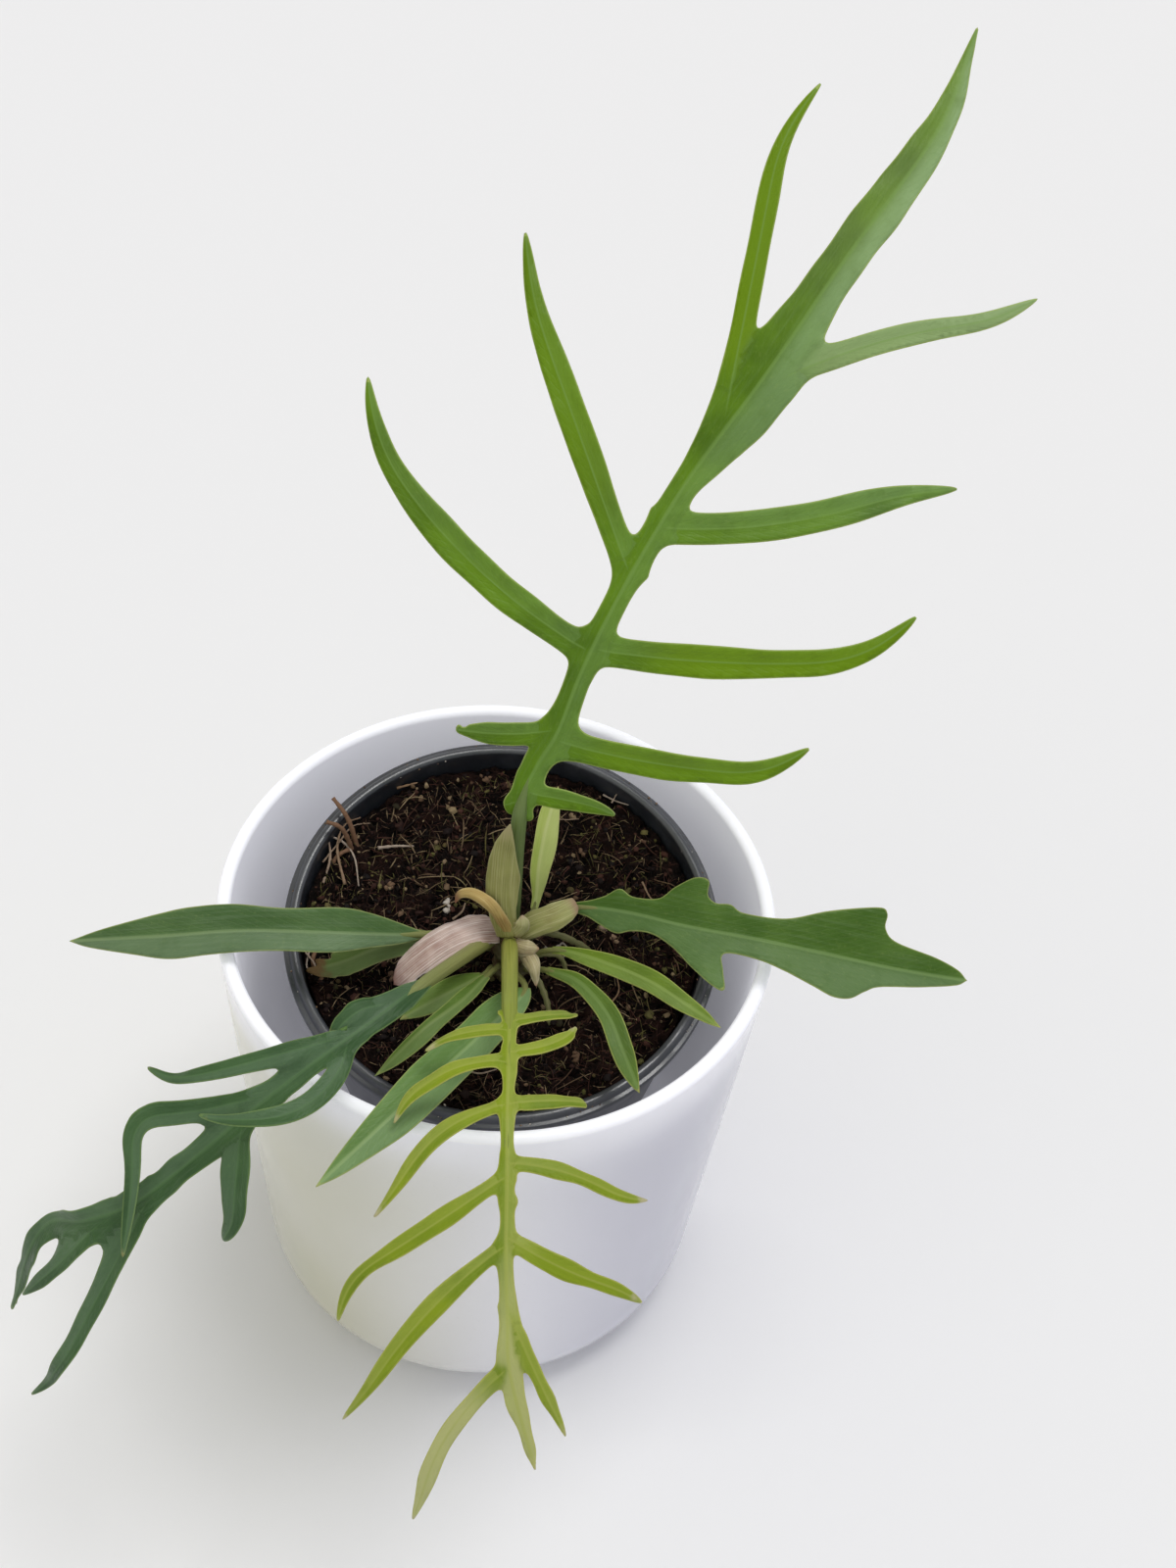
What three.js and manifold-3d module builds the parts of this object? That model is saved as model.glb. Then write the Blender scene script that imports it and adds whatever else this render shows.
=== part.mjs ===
// A young philodendron with deeply cut leaves, in a black grow pot that stands in a white glazed pot.
// Millimetres, +Z up. The origin is the middle of the white pot's flat underside.

import * as THREE from 'three';
import { mergeVertices } from 'three/addons/utils/BufferGeometryUtils.js';
import Module from 'manifold-3d';

const wasm = await Module();
wasm.setup();

// Clearance that is left where two pieces touch
const GAP = 0.3;

// White glazed pot: a tapered cup with a rounded foot and a rounded lip
const OUTER_POT = {
  height: 160,
  topRadius: 77.5,
  baseRadius: 68.5,
  wall: 4,
  floor: 5,
  footRound: 22,
  innerRound: 25,
  segments: 52,
};

// Black grow pot, measured down from the plane of its rim. It stands crooked: its front
// edge is on the floor and its back edge has ridden up the rounded corner.
const GROW_POT = {
  rimRadius: 60.8,
  rimHeight: 4,
  beadRadius: 57.9,
  beadHalf: 1.5,
  bodyTopRadius: 57.5,
  bodyBaseRadius: 39,
  height: 144.3,
  wall: 1.2,
  rimCentre: [1.6, -2.2, 154],
  lean: 10,
  drainHoles: 6,
  drainRadius: 3.5,
  drainCircle: 25,
  segments: 44,
};

// Potting mix: a shallow dish of lumps, deepest round the stem
const SOIL = {
  edgeDepth: 7.5,
  middleDepth: 8.5,
  lump: 1.3,
  rings: 9,
  spokes: 36,
  straws: 14,
};

// Stem: a short knobbly crown that goes down into the soil
const CROWN = {
  foot: [6, -7, 132],
  top: [4.5, -8.5, 160],
  radius: 5.6,
  knob: 0.7,
  sides: 14,
  rings: 9,
};

// Roots that leave the crown above the soil: points of the middle line, then the radius at each end
const CROWN_ROOTS = [
  { points: [[7, -6, 152], [13, -4, 154], [19, -4, 153], [26, -3, 147], [29, -2, 139]], radius: [1.1, 0.8] },
  { points: [[8, -11, 150], [13, -18, 151], [16.5, -22.5, 146], [18, -26, 137]], radius: [1, 0.7] },
  { points: [[7, -10, 149], [14, -10, 152], [19, -9, 149.5], [22, -11, 139]], radius: [0.8, 0.6] },
];

// Roots at the left edge of the grow pot: two reach over its rim, three lie on the soil
const EDGE_ROOTS = [
  { points: [[-42, 21, 146], [-43.5, 22.5, 154.5], [-46, 25, 160.5], [-50.5, 28.5, 164]], radius: [0.9, 0.6] },
  { points: [[-43, 20, 146], [-44.5, 20.2, 154.5], [-47, 20.6, 160.6], [-51, 20.5, 162.7]], radius: [0.8, 0.6] },
  { points: [[-48, 14, 145], [-48.5, 16, 151], [-45, 19, 153], [-41, 24, 147]], radius: [0.7, 0.5] },
  { points: [[-46, -17, 139], [-49.5, -16, 145], [-48, -10, 146], [-44, -6, 140]], radius: [0.7, 0.5] },
  { points: [[-43, -23, 137], [-46.5, -22, 144.5], [-43, -17, 145], [-38, -14, 139]], radius: [0.7, 0.5] },
];

// A leaf is a petiole that runs on as the midrib of its blade.
//   path     points that the petiole and midrib pass through
//   facing   direction that the upper face turns to, from the foot to the tip
//   petiole  radius at the foot and at the blade
//   start    distance along the path where the blade starts
//   wings    [distance, width left of the midrib, width right of it]
//   lobes    [side, distance, length, width, angle, bend, hook, droop]
// Side 1 is on the right for someone who looks from the foot to the tip. Angle is measured from the
// midrib, bend turns the lobe on within the blade, hook turns its outer part and droop turns it down,
// all in degrees. A ninth value is the share of the length where a sharp hook starts.
const CUT_LEAVES = [
  {
    name: 'leaf_cut_upright',
    path: [
      [4, -4, 156], [4.2, 0.2, 199], [7.3, 4.9, 211.5], [12, 8.3, 222], [17, 18, 237], [26, 31, 257],
      [38, 47, 277], [54.5, 64.5, 299], [71.5, 86.5, 321], [91, 114, 342], [99, 139, 357],
    ],
    facing: [[0, -0.6, 0.8], [0, -0.62, 0.78], [0, -0.5, 0.86]],
    petiole: [2.4, 2],
    start: 44,
    wings: [
      [44, 1.6, 1.6], [52, 3.5, 3.2], [66, 4, 3.6], [84, 3.2, 3.2], [104, 3, 3], [126, 3, 3.2],
      [142, 3.4, 4], [154, 5, 7], [166, 7.5, 9], [176, 8.6, 8.6], [188, 6.4, 6.2], [204, 5.2, 5.2],
      [222, 5.8, 5.8], [242, 4.8, 4.6], [258, 3, 3], [270, 1.6, 1.6],
    ],
    lobes: [
      [-1, 47, 4.5, 3.4, 115, 0, 0, 10],
      [1, 43, 3.5, 3, 120, 0, 0, 10],
      [1, 50, 25, 5.5, 80, 10, 20, 15],
      [-1, 70, 29, 6.2, 122, -13, 0, 15],
      [1, 67, 68, 8, 73, -11, -34, 15],
      [-1, 92, 95, 8.7, 85, -31, -21, 15],
      [1, 93, 86, 8.3, 72, -14, -36, 15],
      [-1, 114, 92, 7.8, 49, 2, -15, 15],
      [1, 128, 77, 8.4, 62, -30, 20, 15],
      [-1, 156, 92, 6, 26, 2, -28, 15],
      [1, 169, 74, 6, 31, 22, -27, 15],
    ],
    rib: [1.4, 0.5],
    wave: 0.4,
    colour: 0x4f9a2b,
  },
  {
    name: 'leaf_cut_front',
    path: [
      [4.5, -12, 158], [7.5, -53, 183.5], [10, -84, 186], [12, -102.5, 181.5], [13.5, -116, 174],
      [15.5, -127, 164], [17.5, -136, 153], [26, -148, 128],
    ],
    facing: [[0, -0.35, 0.94], [0, -0.75, 0.66], [0, -0.95, 0.3]],
    petiole: [2.4, 2],
    start: 48,
    wings: [
      [48, 1.5, 1.5], [58, 1.6, 1.6], [125, 1.8, 1.8], [138, 2.6, 2.4], [146, 3, 2.6], [158, 2, 2],
      [168, 1.3, 1.3],
    ],
    lobes: [
      [1, 50, 3, 2.6, 100, 0, 0, 10],
      [-1, 54, 20, 3.4, 106, 11, 10, 25],
      [1, 57, 22, 3.3, 93, -14, -13, 25],
      [-1, 64, 21, 3.5, 94, 48, 28, 10],
      [1, 67, 34, 3.6, 93, -46, -15, 40],
      [-1, 79, 23, 3.4, 98, 4, 0, 40],
      [1, 79, 44, 3.7, 78, -58, 30, 45],
      [-1, 94, 38, 3.3, 86, -31, 41, 45],
      [1, 97, 59, 4, 56, 13, -50, 45],
      [-1, 103, 2.6, 2.6, 90, 0, 0, 20],
      [-1, 111, 39, 4, 58, 19, -19, 40],
      [1, 113, 65, 4.1, 54, -28, 14, 40],
      [-1, 128, 36, 3, 21, 0, -3, 20],
      [1, 142, 62, 4, 51, -45, 15, 30],
    ],
    rib: [1.5, 0.5],
    wave: 0.3,
    colour: 0x9ba63a,
  },
  {
    name: 'leaf_cut_left',
    path: [
      [-1, -10.5, 157], [-16, -42, 175.5], [-28, -57.5, 177], [-41, -70, 174], [-54, -79.5, 166],
      [-73, -89.5, 148], [-84, -93, 137.5], [-96, -93, 128], [-108, -88.5, 116.5], [-115, -90.5, 102],
      [-121.5, -93.5, 77],
    ],
    facing: [[-0.2, -0.5, 0.84], [-0.45, -0.65, 0.6], [-0.6, -0.7, 0.4]],
    petiole: [2.2, 1.9],
    start: 38,
    wings: [
      [38, 1.6, 1.6], [44, 3.5, 2.6], [50, 4, 3.4], [58, 3, 3], [68, 3.6, 3], [80, 2.8, 2.8], [90, 3.6, 3],
      [104, 4, 3.6], [118, 3.8, 3.2], [136, 4, 3.6], [150, 4.6, 3.6], [165, 4.4, 2.6], [180, 3.8, 2.4],
      [200, 2.6, 2],
    ],
    lobes: [
      [1, 49, 21, 6, 24, -40, 0, 40],
      [1, 63, 57, 5, 19, 21, 39, 35],
      [-1, 65, 49, 5.4, 39, -116, 21, 10],
      [1, 88, 75, 5.6, 22, 35, -89, 40, 0.34],
      [-1, 98, 36, 7.8, 47, -17, -31, 40],
      [-1, 130, 82, 5.8, 25, -15, -14, 25],
      [-1, 145, 44, 4.6, 20, -10, 0, 20],
    ],
    rib: [1.3, 0.5],
    wave: 1,
    colour: 0x2f6b42,
  },
];

// Leaves of one blade: left and right are rows of [distance, width from the midrib]
const PLAIN_LEAVES = [
  {
    name: 'leaf_lance_left',
    path: [
      [-1, -6, 154], [-10, -8, 155.5], [-20, -12, 157.6], [-40, -20.2, 165.2], [-65, -24, 167], [-88, -25, 162],
      [-114.5, -24, 154],
    ],
    facing: [[0, -0.5, 0.86], [0.1, -0.55, 0.83]],
    petiole: [1.2, 1.1],
    start: 20,
    left: [[20, 1], [26, 2.5], [36, 3.8], [46, 5.3], [60, 5.5], [79, 6], [90, 6.4], [101, 4.5], [114, 2]],
    right: [[20, 1], [27, 3.2], [36, 5.6], [45, 6.8], [60, 6], [73, 7.2], [84, 7], [92, 6], [101, 4.4], [112, 2.2]],
    colour: 0x5b8c5a,
  },
  {
    name: 'leaf_worn_left',
    path: [
      [-1, -9, 151], [-8, -11, 153], [-20.5, -12.5, 154.5], [-30.5, -14.5, 153.5], [-41, -19, 150.5],
      [-51, -20.5, 147],
    ],
    facing: [[0, -0.4, 0.9], [0, -0.4, 0.9]],
    petiole: [0.9, 0.8],
    start: 12,
    left: [[12, 1], [20, 3], [30, 4], [40, 4.2], [48, 2.8]],
    right: [[12, 1], [19, 3.4], [30, 4], [40, 3.4], [48, 2]],
    colour: 0x6d9150,
  },
  {
    name: 'leaf_narrow_front',
    path: [[2, -14, 150], [-1, -24, 157], [-6, -36, 162], [-14, -46, 163], [-21, -54, 160], [-26, -58.5, 156]],
    facing: [[-0.1, -0.3, 0.95], [-0.1, -0.4, 0.9]],
    petiole: [0.9, 0.8],
    start: 12,
    left: [[12, 1.2], [20, 2], [28, 2], [35, 2.6], [43, 3.5], [52, 2.2]],
    right: [[12, 1.2], [18, 1.8], [26, 2.5], [38, 1.6], [50, 1.2]],
    colour: 0x5a8f3c,
  },
  {
    name: 'leaf_lance_front',
    path: [
      [6, -15, 150], [10, -27, 157], [2.4, -45.4, 165], [-7.8, -63, 169], [-18.8, -80.2, 171],
      [-34.7, -99.2, 166],
    ],
    facing: [[0, -0.3, 0.95], [-0.1, -0.5, 0.86]],
    petiole: [1, 0.9],
    start: 13,
    left: [[13, 1.4], [20, 3], [30, 4.4], [44, 5.4], [55, 5.8], [67, 6.2], [77, 6], [86, 4.5], [96, 2.4]],
    right: [[13, 1.4], [18, 3.6], [24, 5], [33, 5.6], [45, 5.4], [60, 5.9], [69, 5.4], [82, 4], [94, 2]],
    colour: 0x5e9462,
  },
  {
    name: 'leaf_narrow_low',
    path: [[0, -14, 149], [-2, -21, 154], [-9, -30, 158], [-16, -36, 158], [-22, -40, 156]],
    facing: [[-0.1, -0.3, 0.95], [-0.1, -0.4, 0.9]],
    petiole: [0.9, 0.8],
    start: 9,
    left: [[9, 1], [16, 3.2], [24, 3.8], [32, 2.4]],
    right: [[9, 1], [16, 3.2], [24, 3.8], [32, 2.4]],
    colour: 0x5c8f52,
  },
  {
    name: 'leaf_lance_right',
    path: [[10, -11, 152], [17, -13.5, 159], [27, -18.8, 164], [42, -26.4, 167], [53, -32.4, 166], [63, -36, 162]],
    facing: [[0.1, -0.4, 0.9], [0.1, -0.45, 0.88]],
    petiole: [0.9, 0.8],
    start: 9,
    left: [[9, 1], [14, 1.3], [22, 2.2], [32, 3], [39, 3.3], [46, 3], [57, 1.8]],
    right: [[9, 1], [14, 1.4], [20, 2.4], [28, 3], [39, 2.9], [50, 2.7], [59, 1.3]],
    colour: 0x6a9a3e,
  },
  {
    name: 'leaf_curved_right',
    path: [[9.5, -15, 151], [16, -20, 158], [24.6, -27.4, 164], [32.6, -37.6, 165], [37.4, -47, 163], [43, -55.8, 157]],
    facing: [[0, -0.4, 0.9], [0.1, -0.5, 0.85]],
    petiole: [0.9, 0.8],
    start: 10,
    left: [[10, 1], [15, 1.2], [21, 2], [28, 2.4], [35, 3], [42, 3], [49, 2.7], [55, 1.5]],
    right: [[10, 1], [16, 1.8], [27, 2.4], [36, 2.6], [43, 3], [51, 3], [57, 1.4]],
    colour: 0x64944f,
  },
  {
    name: 'leaf_pale_back',
    path: [[8, -3, 152], [10, 3.5, 157], [10, 11, 166], [11, 20, 172], [13, 32, 175]],
    facing: [[0, -0.7, 0.7], [0, -0.6, 0.8]],
    petiole: [0.9, 0.8],
    start: 7,
    left: [[7, 1], [11, 1.2], [17, 2.2], [25, 2.4], [35, 2.8], [40, 1.2]],
    right: [[7, 1], [11, 1.6], [17, 3], [26, 4], [37, 2.2]],
    colour: 0x8fae56,
  },
  {
    name: 'leaf_lobed_right',
    path: [
      [10.5, -6, 155], [14.5, -3.5, 160], [22, -2, 164], [35, -5, 168], [51, -10, 171], [70, -12, 171],
      [89, -12, 168], [111, -11, 163], [130.3, -7.2, 156.4],
    ],
    facing: [[0, -0.5, 0.86], [0, -0.55, 0.83]],
    petiole: [1.2, 1.1],
    start: 15,
    left: [
      [15, 1.5], [19, 2], [23, 3.5], [27, 6], [31, 4.4], [38, 5.4], [42, 9.5], [47, 13], [51, 13], [51.5, 9.2],
      [54, 7.5], [58, 7.8], [62, 6.2], [73, 6.9], [84, 11.2], [97, 15], [100, 13.8], [100.5, 10], [104.5, 7],
      [117, 5], [125, 2.5],
    ],
    right: [
      [15, 1.5], [19, 2.7], [23, 4.5], [28.5, 6.3], [33, 5], [39, 4.4], [45, 6.5], [51, 11], [57, 15],
      [60, 15.4], [59, 10.5], [58.5, 5.6], [67, 5.4], [75, 7], [83, 9.4], [89, 11.2], [94, 10.7], [98, 8],
      [102.5, 5.7], [114.5, 3.7], [125, 1.8],
    ],
    colour: 0x4f8a55,
  },
];

// Bract-like sheaths that wrap the foot of the petioles: shell is [full width, wrap in degrees]
const SHEATHS = [
  {
    name: 'sheath_upright',
    path: [[3.5, -13.2, 162], [1.6, -11, 173], [1.2, -6.2, 186], [2, -3.8, 198]],
    facing: [[0, -0.9, 0.5], [0, -0.8, 0.6]],
    shell: [9.6, 150],
    widest: 0.42,
    colour: 0xa6a873,
  },
  {
    name: 'sheath_curled',
    path: [[-3, -12.5, 162.5], [-5, -11.5, 168], [-7.5, -9.8, 171.5], [-10.5, -8.5, 171.5], [-13, -8.5, 168.5]],
    facing: [[-0.4, -0.6, 0.7], [-0.3, -0.6, 0.75]],
    shell: [4.6, 90],
    widest: 0.4,
    colour: 0xb98f58,
  },
  {
    name: 'sheath_papery',
    path: [[-3.5, -10.5, 160.5], [-9, -14.5, 163], [-19, -21, 161], [-26, -27, 154.5]],
    facing: [[-0.2, -0.4, 0.88], [-0.3, -0.4, 0.86]],
    shell: [13, 120],
    widest: 0.5,
    colour: 0xb9a7a0,
  },
  {
    name: 'sheath_right',
    path: [[7, -8.6, 159], [15, -6.5, 165.5], [23, -4, 168]],
    facing: [[0, -0.4, 0.9], [0, -0.4, 0.9]],
    shell: [9, 120],
    widest: 0.35,
    colour: 0xa5a56c,
  },
  {
    name: 'sheath_low',
    path: [[7.5, -15, 158], [10, -18.5, 157.5], [12, -22, 153.5]],
    facing: [[0.1, -0.6, 0.8], [0.1, -0.7, 0.7]],
    shell: [6.4, 110],
    widest: 0.4,
    colour: 0xa3a878,
  },
];

// Half thickness of a blade at its edge, along a lobe and at the foot of a midrib, and the length of a facet
const BLADE = { edge: 0.33, vein: 0.45, rib: 0.9, facet: 9.5 };

// Half thickness of a sheath, and its facets along and across
const SHELL = { half: 0.35, along: 7, across: 6 };

const radians = THREE.MathUtils.degToRad;
const vector = (point) => new THREE.Vector3(...point);

// Repeatable draw from 0 to 1
function seededDraw(seed) {
  let state = seed;
  return () => {
    state = (state * 1664525 + 1013904223) % 4294967296;
    return state / 4294967296;
  };
}

// Value at x of a table of [x, value, ...] rows, straight between the rows
function lookUp(table, x, column = 1) {
  if (x <= table[0][0]) return table[0][column];
  for (let i = 1; i < table.length; i += 1) {
    if (x <= table[i][0]) {
      const share = (x - table[i - 1][0]) / (table[i][0] - table[i - 1][0]);
      return THREE.MathUtils.lerp(table[i - 1][column], table[i][column], share);
    }
  }
  return 0;
}

// Closed geometry without doubled points or empty triangles, its faces pointing out
function cleaned(geometry) {
  const source = geometry.clone();
  source.deleteAttribute('normal');
  source.deleteAttribute('uv');
  const merged = mergeVertices(source, 1e-3);
  const position = merged.attributes.position;
  const index = [];
  const corner = [new THREE.Vector3(), new THREE.Vector3(), new THREE.Vector3()];
  let volume = 0;
  for (let i = 0; i < merged.index.count; i += 3) {
    const ids = [0, 1, 2].map((k) => merged.index.getX(i + k));
    if (ids[0] !== ids[1] && ids[1] !== ids[2] && ids[2] !== ids[0]) {
      ids.forEach((id, k) => corner[k].fromBufferAttribute(position, id));
      volume += corner[0].dot(corner[1].cross(corner[2]));
      index.push(...ids);
    }
  }
  if (volume < 0) index.reverse();
  const out = new THREE.BufferGeometry();
  out.setAttribute('position', new THREE.BufferAttribute(new Float32Array(position.array), 3));
  out.setIndex(index);
  return out;
}

// Solid for joining and cutting
function solidOf(geometry) {
  const closed = cleaned(geometry);
  return new wasm.Manifold(new wasm.Mesh({
    numProp: 3,
    vertProperties: closed.attributes.position.array,
    triVerts: new Uint32Array(closed.index.array),
  }));
}

// Largest body of a solid, as a geometry
function geometryOf(solid) {
  const bodies = solid.decompose();
  const largest = bodies.reduce((a, b) => (b.volume() > a.volume() ? b : a));
  const mesh = largest.getMesh();
  const geometry = new THREE.BufferGeometry();
  geometry.setAttribute('position', new THREE.BufferAttribute(mesh.vertProperties, 3));
  geometry.setIndex(Array.from(mesh.triVerts));
  return geometry;
}

// Points of a quarter-circle or other arc in a profile, angles in degrees
function arc(radius, height, size, from, to, steps) {
  const points = [];
  for (let i = 0; i <= steps; i += 1) {
    const angle = radians(THREE.MathUtils.lerp(from, to, i / steps));
    points.push([radius + size * Math.cos(angle), height + size * Math.sin(angle)]);
  }
  return points;
}

// Body turned round +Z from [radius, height] points that start and end on the axis
function turned(profile, segments) {
  const points = profile.map(([radius, height]) => new THREE.Vector2(radius, height));
  return cleaned(new THREE.LatheGeometry(points, segments).rotateX(Math.PI / 2));
}

// Curve through points, with its length and the direction that the upper side faces
function makeSpine(points, facing) {
  const curve = new THREE.CatmullRomCurve3(points.map(vector), false, 'catmullrom', 0.5);
  curve.arcLengthDivisions = 400;
  const faces = facing.map((face) => vector(face).normalize());
  return { curve, faces, length: curve.getLength() };
}

// Point at a distance along a spine, with the directions along, across to the right, and up
function frameAt(spine, distance) {
  const share = THREE.MathUtils.clamp(distance / spine.length, 0, 1);
  const point = spine.curve.getPointAt(share);
  const along = spine.curve.getTangentAt(share);
  const place = share * (spine.faces.length - 1);
  const first = Math.min(Math.floor(place), spine.faces.length - 2);
  const face = spine.faces[first].clone().lerp(spine.faces[first + 1], place - first);
  const up = face.addScaledVector(along, -face.dot(along)).normalize();
  const across = new THREE.Vector3().crossVectors(along, up);
  return { point, along, across, up };
}

// Round bar along a spine, its radius running from one value to the other
function taperedBar(spine, from, to, radii, sides, step, extra = 0) {
  const rings = Math.max(2, Math.round((to - from) / step));
  const positions = [];
  const index = [];
  for (let i = 0; i <= rings; i += 1) {
    const share = i / rings;
    const frame = frameAt(spine, THREE.MathUtils.lerp(from, to, share));
    const radius = THREE.MathUtils.lerp(radii[0], radii[1], share) + extra;
    for (let k = 0; k < sides; k += 1) {
      const angle = (2 * Math.PI * k) / sides;
      const point = frame.point.clone();
      point.addScaledVector(frame.across, radius * Math.cos(angle));
      point.addScaledVector(frame.up, radius * Math.sin(angle));
      positions.push(...point.toArray());
      if (i < rings) {
        const here = i * sides + k;
        const next = i * sides + ((k + 1) % sides);
        index.push(here, next, here + sides, next, next + sides, here + sides);
      }
    }
  }
  for (let k = 1; k < sides - 1; k += 1) {
    const last = rings * sides;
    index.push(0, k + 1, k, last, last + k, last + k + 1);
  }
  const geometry = new THREE.BufferGeometry();
  geometry.setAttribute('position', new THREE.Float32BufferAttribute(positions, 3));
  geometry.setIndex(index);
  return cleaned(geometry);
}

// Thin sheet that is gathered point by point and then given its thickness
class Sheet {
  constructor() {
    this.points = [];
    this.halves = [];
    this.faces = [];
  }

  add(point, half) {
    this.points.push(point);
    this.halves.push(half);
    return this.points.length - 1;
  }

  face(a, b, c, side = 1) {
    this.faces.push(side > 0 ? [a, b, c] : [a, c, b]);
  }

  // Fills the band between two rows of points, each with its places along the band
  zip(inner, outer, innerPlaces, outerPlaces, side) {
    let i = 0;
    let j = 0;
    while (i < inner.length - 1 || j < outer.length - 1) {
      const innerNext = i < inner.length - 1 ? innerPlaces[i + 1] : Infinity;
      const outerNext = j < outer.length - 1 ? outerPlaces[j + 1] : Infinity;
      if (innerNext <= outerNext) {
        if (inner[i] !== outer[j] && inner[i + 1] !== outer[j]) this.face(inner[i], outer[j], inner[i + 1], side);
        i += 1;
      } else {
        if (inner[i] !== outer[j + 1]) this.face(inner[i], outer[j], outer[j + 1], side);
        j += 1;
      }
    }
  }

  solid() {
    const normals = this.points.map(() => new THREE.Vector3());
    const edges = new Map();
    this.faces.forEach((ids) => {
      const [a, b, c] = ids.map((id) => this.points[id]);
      const normal = b.clone().sub(a).cross(c.clone().sub(a));
      ids.forEach((id, k) => {
        normals[id].add(normal);
        edges.set(`${id},${ids[(k + 1) % 3]}`, [id, ids[(k + 1) % 3]]);
      });
    });
    const count = this.points.length;
    const positions = [];
    [1, -1].forEach((sign) => {
      this.points.forEach((point, id) => {
        const offset = normals[id].clone().normalize().multiplyScalar(sign * this.halves[id]);
        positions.push(...point.clone().add(offset).toArray());
      });
    });
    const index = [];
    this.faces.forEach(([a, b, c]) => index.push(a, b, c, a + count, c + count, b + count));
    edges.forEach(([a, b]) => {
      if (!edges.has(`${b},${a}`)) index.push(b, a, a + count, b, a + count, b + count);
    });
    const geometry = new THREE.BufferGeometry();
    geometry.setAttribute('position', new THREE.Float32BufferAttribute(positions, 3));
    geometry.setIndex(index);
    return solidOf(geometry);
  }
}

// Width of a lobe at a share of its length: fullest in the lower middle, drawn out to a point
function lobeShare(share) {
  return Math.sin((Math.PI * (share + 0.35)) / 1.35) ** 0.6;
}

// Rows of a lobe from its root on the midrib to its tip
function lobeRows(spine, lobe, offset, step) {
  const [side, distance, length, width, angle, bend, hook, droop, hookStart = 0.6] = lobe;
  const { point, along, across, up } = frameAt(spine, distance);
  across.multiplyScalar(side);
  const steps = Math.max(3, Math.round(length / step) + 1);
  const substeps = 4;
  const root = point.clone().addScaledVector(across, offset);
  root.addScaledVector(along, offset / Math.tan(radians(angle)));
  const hookEnd = hookStart < 0.6 ? hookStart + 0.25 : 1;
  const rows = [];
  const walk = root.clone();
  const reach = length - offset / Math.sin(radians(angle));
  for (let i = 1; i <= steps; i += 1) {
    let direction;
    let normal;
    for (let k = 0; k < substeps; k += 1) {
      const share = (i - 1 + (k + 0.5) / substeps) / steps;
      const hooked = THREE.MathUtils.smoothstep(share, hookStart, hookEnd);
      const turn = radians(angle + bend * share + hook * hooked);
      const fall = radians(droop * share);
      const level = along.clone().multiplyScalar(Math.cos(turn)).addScaledVector(across, Math.sin(turn));
      direction = level.clone().multiplyScalar(Math.cos(fall)).addScaledVector(up, -Math.sin(fall));
      normal = up.clone().multiplyScalar(Math.cos(fall)).addScaledVector(level, Math.sin(fall));
      walk.addScaledVector(direction, reach / steps / substeps);
    }
    const share = i / steps;
    const sideways = new THREE.Vector3().crossVectors(direction, normal).multiplyScalar(-side);
    rows.push({ middle: walk.clone(), sideways, half: (width / 2) * lobeShare(share), share });
  }
  return { root, rows };
}

// Adds one side of a blade: its edge, zipped to the midrib, and its lobes
function addSide(sheet, spine, leaf, side, middle, middlePlaces, tip) {
  const column = side < 0 ? 1 : 2;
  const lobes = leaf.lobes.filter((lobe) => lobe[0] === side).map((lobe) => {
    const offset = lookUp(leaf.wings, lobe[1], column) * 0.9;
    const slant = Math.sin(radians(THREE.MathUtils.clamp(lobe[4], 30, 150)));
    const place = lobe[1] + offset / Math.tan(radians(lobe[4]));
    const half = (lobe[3] * 0.5 * lobeShare(0)) / slant + Math.min(1.5, lobe[3] * 0.2);
    return { lobe, offset, place, half };
  });
  const stations = middlePlaces.slice(0, -1).map((place) => ({ place }));
  const free = stations.filter(({ place }) => place === leaf.start || lobes.every((item) => (
    Math.abs(place - item.place) > item.half + BLADE.facet * 0.3
  )));
  lobes.forEach((item) => {
    [-1, 0, 1].forEach((k) => free.push({ place: item.place + k * item.half, item, k }));
  });
  free.sort((a, b) => a.place - b.place);
  const outer = free.map((station) => {
    const frame = frameAt(spine, station.place);
    const wave = station.item ? 0 : leaf.wave * Math.sin(station.place * 0.45 + side);
    const point = frame.point.clone();
    point.addScaledVector(frame.across, side * lookUp(leaf.wings, station.place, column));
    point.addScaledVector(frame.up, wave);
    const id = sheet.add(point, station.k === 0 ? BLADE.vein : BLADE.edge);
    if (station.item) {
      station.item.base = [...(station.item.base || []), id];
    }
    return id;
  });
  const places = free.map((station) => station.place);
  sheet.zip(middle, [...outer, tip], middlePlaces, [...places, spine.length], side);
  lobes.forEach((item) => {
    const { rows } = lobeRows(spine, item.lobe, item.offset, BLADE.facet);
    let below = item.base;
    rows.forEach(({ middle: centre, sideways, half }, i) => {
      const last = i === rows.length - 1;
      const row = last ? [sheet.add(centre, BLADE.edge)] : [-1, 0, 1].map((k) => {
        const point = centre.clone().addScaledVector(sideways, k * half);
        return sheet.add(point, k === 0 ? BLADE.vein : BLADE.edge);
      });
      for (let k = 0; k < 2; k += 1) {
        if (last) {
          sheet.face(below[k], row[0], below[k + 1], side);
        } else {
          sheet.face(below[k], row[k], below[k + 1], side);
          sheet.face(row[k], row[k + 1], below[k + 1], side);
        }
      }
      below = row;
    });
  });
}

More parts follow.
